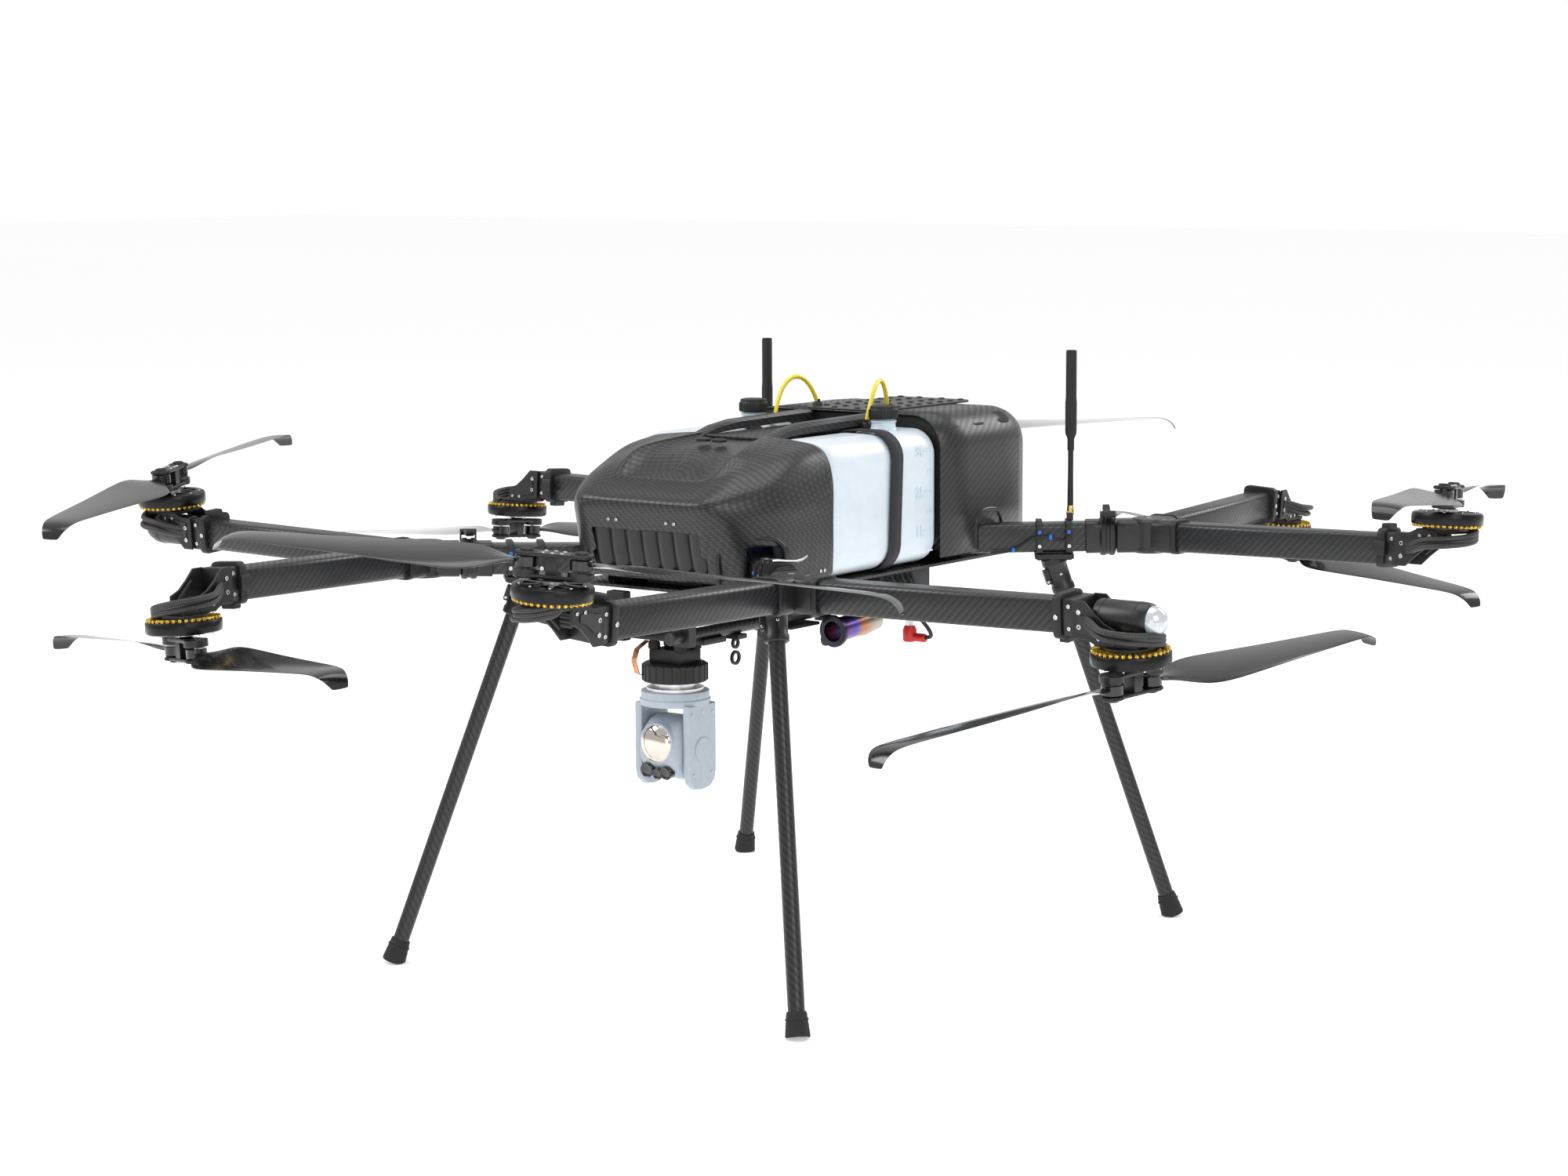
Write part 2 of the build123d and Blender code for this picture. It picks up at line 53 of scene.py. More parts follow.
# ---- node helpers -------------------------------------------------------------------------
class Nodes:
    """A short way to write one material's node tree."""

    def __init__(self, name):
        self.material = bpy.data.materials.new(name)
        self.material.use_nodes = True
        self.tree = self.material.node_tree
        self.shader = self.tree.nodes["Principled BSDF"]

    def add(self, kind, inputs=(), **settings):
        node = self.tree.nodes.new(kind)
        for key, value in settings.items():
            setattr(node, key, value)
        for index, value in inputs:
            if isinstance(value, bpy.types.NodeSocket):
                self.tree.links.new(value, node.inputs[index])
            else:
                node.inputs[index].default_value = value
        return node

    def math(self, operation, a, b=0.0):
        return self.add("ShaderNodeMath", [(0, a), (1, b)], operation=operation).outputs[0]

    def ramp(self, factor, stops):
        node = self.add("ShaderNodeValToRGB", [(0, factor)])
        elements = node.color_ramp.elements
        while len(elements) < len(stops):
            elements.new(0.5)
        for element, (place, colour) in zip(elements, stops):
            element.position = place
            element.color = (*colour, 1)
        return node.outputs[0]

    def grey(self, factor, low, high):
        return self.add("ShaderNodeMapRange", [(0, factor), (3, low), (4, high)]).outputs[0]

    def noise(self, scale, detail=3.0, coords=None):
        inputs = [(2, scale), (3, detail)]
        if coords is not None:
            inputs.append((0, coords))
        return self.add("ShaderNodeTexNoise", inputs).outputs[0]

    def weave_coords(self, turn, scale):
        uv = self.add("ShaderNodeUVMap", uv_map="weave").outputs[0]
        node = self.add("ShaderNodeMapping", [(0, uv), (3, (scale, scale, 1))])
        node.inputs[2].default_value = (0, 0, math.radians(turn))
        return self.add("ShaderNodeSeparateXYZ", [(0, node.outputs[0])]).outputs

    def bump(self, height, strength, distance):
        node = self.add("ShaderNodeBump", [(0, strength), (1, distance), (2, height)])
        self.tree.links.new(node.outputs[0], self.shader.inputs["Normal"])

    def link(self, socket, name):
        self.tree.links.new(socket, self.shader.inputs[name])

    def set(self, **values):
        for name, value in values.items():
            self.shader.inputs[name.replace("_", " ")].default_value = value


def twill(name, pitch, dark, light, rough, coat=0.0, turn=0.0, sheen=0.0):
    """2 by 2 twill carbon: diagonal steps of tows that catch the light differently."""
    n = Nodes(name)
    x, y, _ = n.weave_coords(turn, 1000.0 / pitch)
    column = n.math("FLOOR", x)
    row = n.math("FLOOR", y)
    step = n.math("FLOORED_MODULO", n.math("ADD", column, row), 4.0)
    over = n.math("LESS_THAN", step, 2.0)
    across = n.math("ABSOLUTE", n.math("SUBTRACT", n.math("FRACT", x), 0.5))
    down = n.math("ABSOLUTE", n.math("SUBTRACT", n.math("FRACT", y), 0.5))
    tow = n.add("ShaderNodeMix", [(0, over), (2, across), (3, down)]).outputs[0]
    height = n.math("SUBTRACT", 1.0, n.math("MULTIPLY", tow, 1.6))
    cloud = n.noise(9.0, 2.0)
    tone = n.math("MULTIPLY", n.math("MULTIPLY", n.math("ADD", over, 0.25), height), n.grey(cloud, 0.6, 1.2))
    n.link(n.ramp(tone, [(0.0, dark), (1.0, light)]), "Base Color")
    n.link(n.math("ADD", n.grey(cloud, rough - 0.05, rough + 0.07), n.math("MULTIPLY", over, -0.09)), "Roughness")
    n.bump(height, 0.35, 0.0003)
    n.set(Coat_Weight=coat, Coat_Roughness=0.12, Sheen_Weight=sheen)
    return n.material


def plain(name, colour, rough, metal=0.0, grain=900.0, bump=0.15, spread=0.25, **values):
    """A solid finish with fine grain, uneven gloss and a slight change of tone."""
    n = Nodes(name)
    broad = n.noise(14.0, 4.0)
    fine = n.noise(grain, 2.0)
    low = [c * (1 - spread) for c in colour]
    high = [min(1.0, c * (1 + spread)) for c in colour]
    n.link(n.ramp(broad, [(0.3, low), (0.7, high)]), "Base Color")
    n.link(n.grey(n.math("ADD", n.math("MULTIPLY", broad, 0.6), n.math("MULTIPLY", fine, 0.4)),
                  max(rough - 0.09, 0.02), rough + 0.09), "Roughness")
    n.bump(fine, bump, 0.0002)
    n.set(Metallic=metal, **values)
    return n.material


def striped(name, first, second, rough, count, metal=0.0, turn=45.0, bump=0.6, cross=True):
    """Crossing ribs in weave coordinates: braid, webbing or knurling."""
    n = Nodes(name)
    x, y, _ = n.weave_coords(turn, 1000.0 / count)
    wave = n.math("SINE", n.math("MULTIPLY", x, 6.2832))
    if cross:
        wave = n.math("MULTIPLY", wave, n.math("SINE", n.math("MULTIPLY", y, 6.2832)))
    level = n.grey(n.math("ADD", n.math("MULTIPLY", wave, 0.5), 0.5), 0.0, 1.0)
    n.link(n.ramp(level, [(0.1, first), (0.9, second)]), "Base Color")
    n.link(n.grey(level, rough + 0.08, rough - 0.05), "Roughness")
    n.bump(level, bump, 0.0005)
    n.set(Metallic=metal)
    return n.material


def tinted_pipe(name):
    n = Nodes(name)
    at = n.add("ShaderNodeSeparateXYZ", [(0, n.add("ShaderNodeTexCoord").outputs[3])]).outputs[1]
    along = n.math("ADD", n.math("MULTIPLY", at, 11.0), n.math("MULTIPLY", n.noise(30.0), 0.25))
    stops = [(0.1, (.05, .05, .06)), (.3, (.2, .08, .3)), (.45, (.08, .12, .5)), (.6, (.5, .2, .08)), (.85, (.45, .4, .33))]
    n.link(n.ramp(along, stops), "Base Color")
    n.link(n.grey(n.noise(80.0), 0.2, 0.36), "Roughness")
    n.set(Metallic=1.0)
    return n.material


BLACK = (.0075, .0078, .0085)
MAT = {
    "skin": twill("carbon_skin", 2.8, (.004, .004, .0045), (.036, .037, .039), 0.4, coat=0.05, turn=12),
    "tube": twill("carbon_tube", 2.4, (.004, .004, .005), (.033, .034, .036), 0.36, turn=0),
    "gloss": twill("polished_carbon", 2.2, (.004, .004, .005), (.009, .009, .01), 0.22, coat=0.45, turn=45),
    "motor": plain("black_anodised", (.012, .012, .013), 0.3, 0.6),
    "black": plain("moulded_black", BLACK, 0.5, bump=0.3),
    "satin": plain("satin_black", (.01, .01, .011), 0.34),
    "rubber": plain("rubber", (.012, .012, .012), 0.75, grain=400, bump=0.4),
    "tank": plain("milky_tank", (.66, .73, .79), 0.32, grain=120, bump=0.06, spread=0.025, Subsurface_Weight=0.35,
                  Subsurface_Scale=0.02, Coat_Weight=0.15),
    "web": striped("webbing", (.006, .006, .007), (.03, .03, .032), 0.75, 3.0, turn=0, bump=0.7),
    "braid": striped("braided_sleeve", (.004, .004, .004), (.06, .06, .062), 0.5, 3.2),
    "steel": plain("steel", (.62, .62, .63), 0.25, 1.0, spread=0.1),
    "alu": plain("aluminium", (.72, .73, .75), 0.3, 1.0, spread=0.08),
    "gold": striped("copper_winding", (.25, .13, .01), (.95, .62, .08), 0.3, 2.0, metal=0.7, turn=0, cross=False),
    "yellow": plain("yellow_hose", (.83, .68, .01), 0.25, grain=60, bump=0.05, spread=0.1, Coat_Weight=0.4),
    "red": plain("red_silicone", (.55, .012, .012), 0.4, spread=0.1),
    "blue": plain("blue_screw", (.02, .16, .62), 0.3, 0.3),
    "grey": plain("gimbal_paint", (.42, .48, .54), 0.42, grain=700, bump=0.2, spread=0.04, Coat_Weight=0.1),
    "mirror": plain("lens_mirror", (.72, .66, .58), 0.03, 1.0, grain=5, bump=0.0, spread=0.05),
    "lens": plain("lens_black", (.004, .004, .006), 0.04, grain=5, bump=0.0, Coat_Weight=1.0),
    "dome": plain("clear_dome", (.6, .63, .67), 0.1, 0.3, grain=5, bump=0.0, spread=0.1, Coat_Weight=1.0),
    "copper": plain("copper_ribbon", (.75, .33, .17), 0.35, 1.0),
    "pipe": tinted_pipe("heat_tinted_pipe"),
    "cast": plain("cast_alloy", (.035, .035, .037), 0.5, 0.6, grain=300, bump=0.6),
    "wrap": plain("battery_wrap", (.03, .07, .2), 0.35),
    "gold_pin": plain("gold_connector", (.85, .6, .2), 0.22, 1.0, spread=0.1),
}


# ---- mesh helpers -------------------------------------------------------------------------
class Shape:
    """Gathers polygons in millimetres, each with a finish and weave coordinates."""

    def __init__(self):
        self.verts = []
        self.faces = []
        self.uvs = []
        self.marks = []
        self.mats = []
        self.at = Matrix.Identity(4)
        self.smooth = []

    def mat(self, key):
        if key not in self.mats:
            self.mats.append(key)
        return self.mats.index(key)

    def put(self, points):
        start = len(self.verts)
        self.verts += [self.at @ Vector(p) for p in points]
        return start

    def face(self, ids, key, uv, smooth=True):
        self.faces.append(ids)
        self.marks.append(self.mat(key))
        self.uvs.append(uv)
        self.smooth.append(smooth)

    def flat(self, ids, local, key):
        a, b, c = local[0], local[1], local[2]
        normal = (b - a).cross(c - a)
        major = max(range(3), key=lambda i: abs(normal[i]))
        i, j = [(1, 2), (0, 2), (0, 1)][major]
        self.face(ids, key, [(p[i], p[j]) for p in local], False)

    def prism(self, outline, low, high, key, inset=0.8):
        """An outline in the plane of x and y, from low to high in z, with eased rims."""
        pts = [Vector((x, y, 0)) for x, y in outline]
        area = sum(a.x * b.y - b.x * a.y for a, b in zip(pts, pts[1:] + pts[:1]))
        if area < 0:
            pts.reverse()
        count = len(pts)
        inner = []
        for k in range(count):
            e1 = (pts[k] - pts[k - 1]).normalized()
            e2 = (pts[(k + 1) % count] - pts[k]).normalized()
            n1, n2 = Vector((-e1.y, e1.x, 0)), Vector((-e2.y, e2.x, 0))
            bis = n1 + n2
            inner.append(pts[k] + bis * (inset / max(0.35, bis.length_squared / 2)) / 1.0 * 0.5)
        rings = []
        for z, ring in ((low, inner), (low + inset, pts), (high - inset, pts), (high, inner)):
            local = [Vector((p.x, p.y, z)) for p in ring]
            rings.append((self.put(local), local))
        lengths = [0.0]
        for a, b in zip(pts, pts[1:] + pts[:1]):
            lengths.append(lengths[-1] + (b - a).length)
        for (s0, l0), (s1, l1) in zip(rings, rings[1:]):
            for k in range(count):
                m = (k + 1) % count
                uv = [(lengths[k], l0[k].z), (lengths[k + 1], l0[m].z), (lengths[k + 1], l1[m].z), (lengths[k], l1[k].z)]
                self.face([s0 + k, s0 + m, s1 + m, s1 + k], key, uv, False)
        s, local = rings[-1]
        self.flat([s + k for k in range(count)], local, key)
        s, local = rings[0]
        self.flat([s + k for k in reversed(range(count))], local[::-1], key)

    def box(self, x, y, z, key, inset=0.8):
        self.prism([(x[0], y[0]), (x[1], y[0]), (x[1], y[1]), (x[0], y[1])], z[0], z[1], key, inset)

    def lathe(self, profile, key, steps=40, caps=True, sweep=360.0):
        """A profile of (radius, height) turned about z."""
        full = sweep >= 360
        count = steps if full else steps + 1
        starts = []
        for radius, height in profile:
            ring = []
            for k in range(count):
                angle = math.radians(sweep) * k / steps
                ring.append(Vector((radius * math.cos(angle), radius * math.sin(angle), height)))
            starts.append(self.put(ring))
        travel = 0.0
        for a in range(len(profile) - 1):
            r = max(profile[a][0], profile[a + 1][0], 1.0)
            step = math.dist(profile[a], profile[a + 1])
            for k in range(steps):
                m = (k + 1) % count
                u0, u1 = [math.radians(sweep) * q / steps * r for q in (k, k + 1)]
                uv = [(u0, travel), (u1, travel), (u1, travel + step), (u0, travel + step)]
                self.face([starts[a] + k, starts[a] + m, starts[a + 1] + m, starts[a + 1] + k], key, uv)
            travel += step
        if caps:
            for s, order in ((starts[0], -1), (starts[-1], 1)):
                ids = [s + k for k in range(count)][::order]
                self.face(ids, key, [(self.verts[i].x, self.verts[i].y) for i in ids], False)

    def loft(self, rings, key, close=True, caps=True, smooth=True):
        """Rings with equal numbers of points, joined in order."""
        starts = [self.put(ring) for ring in rings]
        count = len(rings[0])
        v = 0.0
        for a in range(len(rings) - 1):
            step = sum((Vector(p) - Vector(q)).length for p, q in zip(rings[a], rings[a + 1])) / count
            u = 0.0
            for k in range(count if close else count - 1):
                m = (k + 1) % count
                du = (Vector(rings[a][m]) - Vector(rings[a][k])).length
                uv = [(u, v), (u + du, v), (u + du, v + step), (u, v + step)]
                self.face([starts[a] + k, starts[a] + m, starts[a + 1] + m, starts[a + 1] + k], key, uv, smooth)
                u += du
            v += step
        if caps:
            for s, ring, order in ((starts[0], rings[0], -1), (starts[-1], rings[-1], 1)):
                ids = [s + k for k in range(count)][::order]
                self.flat(ids, [Vector(p) for p in ring][::order], key)

    def rod(self, start, end, radius, key, steps=16, ease=0.5, radius2=None):
        """A round bar between two points of the present frame."""
        keep = self.at
        self.at = keep @ plane(start, Vector(end) - Vector(start))
        length = (Vector(end) - Vector(start)).length
        r2 = radius if radius2 is None else radius2
        e = min(ease, length / 3, radius / 2)
        self.lathe([(radius - e, 0), (radius, e), (r2, length - e), (r2 - e, length)], key, steps)
        self.at = keep

    def wire(self, points, radius, key, steps=8):
        """A round wire through smooth points."""
        pts = smooth_line(points)
        rings = []
        side = None
        for k, p in enumerate(pts):
            d = (pts[min(k + 1, len(pts) - 1)] - pts[max(k - 1, 0)]).normalized()
            if side is None:
                side = d.orthogonal().normalized()
            side = (side - d * side.dot(d)).normalized()
            other = d.cross(side)
            rings.append([p + side * (radius * math.cos(t)) + other * (radius * math.sin(t))
                          for t in [2 * math.pi * q / steps for q in range(steps)]])
        self.loft(rings, key)

    def screw(self, at, normal, radius=2.6, key="steel", height=1.2):
        """A cap screw's head with a round recess."""
        keep = self.at
        self.at = keep @ plane(at, normal)
        r = radius
        self.lathe([(r, 0), (r, height * .7), (r * .86, height), (r * .5, height), (r * .45, height * .35)], key, 12)
        self.at = keep

    def done(self, name, body, replaces=(), slot=None, bevel=0.0, angle=38.0, levels=0):
        mesh = bpy.data.meshes.new(name)
        mesh.from_pydata([v * MM for v in self.verts], [], self.faces)
        layer = mesh.uv_layers.new(name="weave")
        k = 0
        for uv in self.uvs:
            for u, v in uv:
                layer.data[k].uv = (u * MM, v * MM)
                k += 1
        for key in self.mats:
            mesh.materials.append(MAT[key])
        for poly, mark, soft in zip(mesh.polygons, self.marks, self.smooth):
            poly.material_index = mark
            poly.use_smooth = True
        mesh.set_sharp_from_angle(angle=math.radians(angle))
        mesh.validate()
        obj = bpy.data.objects.new(name, mesh)
        bpy.context.scene.collection.objects.link(obj)
        if bevel:
            m = obj.modifiers.new("ease", "BEVEL")
            m.width = bevel * MM
            m.segments = 2
            m.limit_method = "ANGLE"
            m.angle_limit = math.radians(40)
        if levels:
            m = obj.modifiers.new("smooth", "SUBSURF")
            m.levels = m.render_levels = levels
        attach(obj, body)
        if replaces:
            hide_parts(*replaces)
        return obj


def plane(origin, direction, side=None):
    """A frame with z along a direction and, when given, x nearest to side."""
    z = Vector(direction).normalized()
    x = z.orthogonal() if side is None else Vector(side) - z * Vector(side).dot(z)
    x.normalize()
    y = z.cross(x)
    return Matrix.Translation(Vector(origin)) @ Matrix((x, y, z)).transposed().to_4x4()


def smooth_line(points, per=6):
    """Catmull-Rom points through the given ones."""
    pts = [Vector(p) for p in points]
    if len(pts) == 2:
        return pts
    ends = [pts[0] * 2 - pts[1], *pts, pts[-1] * 2 - pts[-2]]
    out = []
    for a, b, c, d in zip(ends, ends[1:], ends[2:], ends[3:]):
        for k in range(per):
            t = k / per
            out.append(0.5 * (2 * b + (c - a) * t + (2 * a - 5 * b + 4 * c - d) * t * t
                              + (3 * b - a - 3 * c + d) * t ** 3))
    return out + [pts[-1]]


def rounded(wide, tall, corner, steps=5):
    """The outline of a rectangle with round corners."""
    pts = []
    for cx, cy, start in ((1, 1, 0), (-1, 1, 90), (-1, -1, 180), (1, -1, 270)):
        for k in range(steps + 1):
            t = math.radians(start + 90 * k / steps)
            pts.append((cx * (wide / 2 - corner) + corner * math.cos(t), cy * (tall / 2 - corner) + corner * math.sin(t)))
    return pts


def square_tube(shape, start, end, size, corner, key):
    keep = shape.at
    a, b = Vector(start), Vector(end)
    shape.at = keep @ plane(a, b - a, Z.cross(b - a))
    shape.prism(rounded(size, size, corner), 0, (b - a).length, key, 0.4)
    shape.at = keep


def toward(point, target, distance):
    a = Vector(point)
    return a + (Vector(target) - a).normalized() * distance


# ---- layout, from the record's joints -----------------------------------------------------
CORNERS = {
    "front_left": (1, (278, -357), (150, -229), (311, -392), (4, 5)),
    "front_right": (-1, (278, -357), (150, -229), (311, -392), (2, 1)),
    "rear_left": (1, (328, 360), (150, 242), (352, 392), (6, 7)),
    "rear_right": (-1, (328, 360), (150, 242), (352, 392), (3, 8)),
}


def mm(values):
    return Vector(values) * 1000.0


def fork_centre(corner):
    side, fork = CORNERS[corner][:2]
    return Vector((side * fork[0], fork[1], 505))


def boom_root(corner):
    side, fork, cross = CORNERS[corner][:3]
    slope = (cross[1] - fork[1]) / (cross[0] - fork[0])
    return Vector((side * 70, cross[1] + (70 - cross[0]) * slope, 499))


def motor_frame(number, corner):
    """The frame at a motor on its arm's axis: z towards the rotor, x outward along the arm."""
    joint = JOINTS[f"rotor_{number}_spin"]
    axis = Vector(joint["axis"]).normalized()
    origin = mm(joint["pos_m"]) - axis * 40
    outward = origin - fork_centre(corner)
    outward.z = 0
    return plane(origin, axis, outward), origin, axis


def corner_frame(corner, back):
    """The frame on a boom at a distance back from its fork: z outward, x sideways, y up."""
    centre, root = fork_centre(corner), boom_root(corner)
    at = toward(centre, root, back)
    d = (centre - root).normalized()
    x = Vector((-d.y, d.x, 0)).normalized()
    return Matrix.Translation(at) @ Matrix((x, d.cross(x), d)).transposed().to_4x4()


# ---- camera, light and floor --------------------------------------------------------------
def build_stage():
    cam = bpy.data.objects.new("camera", bpy.data.cameras.new("camera"))
    bpy.context.scene.collection.objects.link(cam)
    cam.data.lens, cam.data.sensor_width = 77.47, 36.0
    yaw, pitch, roll = math.radians(-36.208), math.radians(-7.6035), math.radians(-0.1986)
    forward = Vector((math.sin(yaw) * math.cos(pitch), math.cos(yaw) * math.cos(pitch), math.sin(pitch)))
    right = Vector((math.cos(yaw), -math.sin(yaw), 0))
    up = right.cross(forward)
    r = right * math.cos(roll) + up * math.sin(roll)
    u = up * math.cos(roll) - right * math.sin(roll)
    cam.matrix_world = Matrix.Translation((2.50398, -3.41119, 1.01517)) @ Matrix((r, u, -forward)).transposed().to_4x4()
    cam.data.clip_start, cam.data.clip_end = 0.05, 100
    bpy.context.scene.camera = cam

    bpy.ops.mesh.primitive_plane_add(size=60, location=(0, 0, -0.0005))
    floor = bpy.context.object
    floor.name = "floor"
    n = Nodes("floor")
    n.link(n.ramp(n.noise(2.0), [(0.3, (.87, .87, .87)), (0.7, (.9, .9, .9))]), "Base Color")
    n.set(Roughness=0.85, Emission_Color=(1, 1, 1, 1), Emission_Strength=0.42)
    floor.data.materials.append(n.material)
    world = bpy.data.worlds.new("world")
    bpy.context.scene.world = world
    world.use_nodes = True
    world.node_tree.nodes["Background"].inputs[0].default_value = (1, 1, 1, 1)
    tree = world.node_tree
    seen = tree.nodes.new("ShaderNodeLightPath").outputs[0]
    level = tree.nodes.new("ShaderNodeMapRange")
    level.inputs[3].default_value, level.inputs[4].default_value = 0.62, 1.0
    tree.links.new(seen, level.inputs[0])
    tree.links.new(level.outputs[0], tree.nodes["Background"].inputs[1])
    for name, place, size, power in (
        ("key", (-3.2, -2.6, 3.6), 2.6, 95), ("fill", (3.8, -2.2, 2.6), 2.4, 45),
        ("rear", (1.5, 4.2, 3.2), 2.6, 80), ("top", (0, 0, 4.4), 3.2, 60), ("low", (2.2, -4.2, 0.6), 2.0, 12),
    ):
        light = bpy.data.lights.new(name, "AREA")
        light.energy, light.size = power, size
        obj = bpy.data.objects.new(name, light)
        bpy.context.scene.collection.objects.link(obj)
        obj.location = place
        obj.rotation_mode = "QUATERNION"
        obj.rotation_quaternion = (Vector((0, 0, 0.5)) - Vector(place)).to_track_quat("-Z", "Y")
    bpy.context.scene.view_settings.view_transform = "Standard"


# ---- cords --------------------------------------------------------------------------------
HOSE_ROUTE = ((72, 88, 656), (73, 98, 690), (67, 124, 712), (59, 150, 699), (55, 160, 672))


def build_hoses():
    for side, name in ((1, "left"), (-1, "right")):
        data = bpy.data.curves.new(f"hose_{name}", "CURVE")
        data.dimensions = "3D"
        data.bevel_depth = 2.75 * MM
        data.bevel_resolution = 6
        data.use_fill_caps = True
        spline = data.splines.new("NURBS")
        spline.points.add(len(HOSE_ROUTE) - 1)
        for point, (x, y, z) in zip(spline.points, HOSE_ROUTE):
            point.co = (side * x * MM, y * MM, z * MM, 1)
        spline.order_u = 3
        spline.use_endpoint_u = True
        spline.resolution_u = 14
        data.materials.append(MAT["yellow"])
        hose = bpy.data.objects.new(f"vent_hose_{name}_tube", data)
        bpy.context.scene.collection.objects.link(hose)
        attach(hose, "airframe")
        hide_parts(f"vent_hose_{name}")
        ends = Shape()
        for x, y, z in (HOSE_ROUTE[0], HOSE_ROUTE[-1]):
            ends.at = Matrix.Translation((side * x, y, z))
            ends.lathe([(6.5, -5), (6.5, 0), (5, 2), (3.4, 2.4), (3.4, 5), (2.9, 5.4)], "black", 20)
        ends.done(f"hose_grommets_{name}", "airframe")


# ---- body ---------------------------------------------------------------------------------
NOSE_CAGE = (
    # from the front centre round the corner to the rear edge, lowest row first
    ((0, -258, 489), (52, -258, 489), (92, -254, 489), (122, -236, 489), (146, -196, 489), (151, -150, 489), (151, -97, 489)),
    ((0, -268, 520), (52, -268, 520), (96, -263, 520), (128, -240, 520), (149, -198, 520), (152, -150, 520), (152, -97, 520)),
    ((0, -277, 556), (54, -277, 556), (100, -272, 556), (128, -246, 556), (149, -202, 556), (152, -150, 556), (152, -97, 556)),
    ((0, -283, 577), (56, -283, 577), (99, -279, 577), (126, -250, 579), (148, -206, 583), (152, -150, 594), (152, -97, 600)),
    ((0, -281, 588), (58, -281, 588), (96, -276, 590), (119, -245, 598), (138, -204, 606), (143, -150, 622), (144, -97, 630)),
    ((0, -262, 597), (60, -262, 597), (86, -258, 601), (105, -228, 613), (120, -192, 622), (127, -146, 637), (128, -97, 644)),
    ((0, -250, 604), (58, -250, 604), (78, -244, 608), (88, -216, 622), (94, -184, 633), (98, -146, 641), (100, -97, 649)),
    ((0, -243, 609), (52, -243, 609), (70, -237, 613), (76, -208, 631), (76, -182, 641), (66, -150, 647), (52, -97, 653)),
    ((0, -239, 608), (49, -239, 608), (65, -232, 611), (71, -206, 629), (71, -182, 638), (61, -150, 644), (47, -97, 650)),
    ((0, -233, 608), (38, -233, 608), (50, -226, 611), (55, -203, 625), (54, -180, 634), (46, -148, 641), (36, -97, 647)),
    ((0, -222, 613), (18, -221, 613), (24, -214, 617), (26, -197, 626), (26, -177, 634), (24, -146, 641), (18, -97, 646)),
    ((0, -216, 616), (0, -212, 618), (0, -205, 622), (0, -191, 629), (0, -172, 635), (0, -143, 641), (0, -97, 646)),
)


def catmull_grid(rows, per=5):
    """A finer grid that passes smoothly near the points of a coarse one."""
    fine = [smooth_line(row, per) for row in rows]
    columns = [smooth_line(column, per) for column in zip(*fine)]
    return [list(row) for row in zip(*columns)]


def nose_side(y):
    """How far out the nose's side stands at a place along the body."""
    if y > -198:
        return 151.5
    return 150 + (y + 198) * 0.5 if y > -240 else 129 + (y + 240) * 1.39


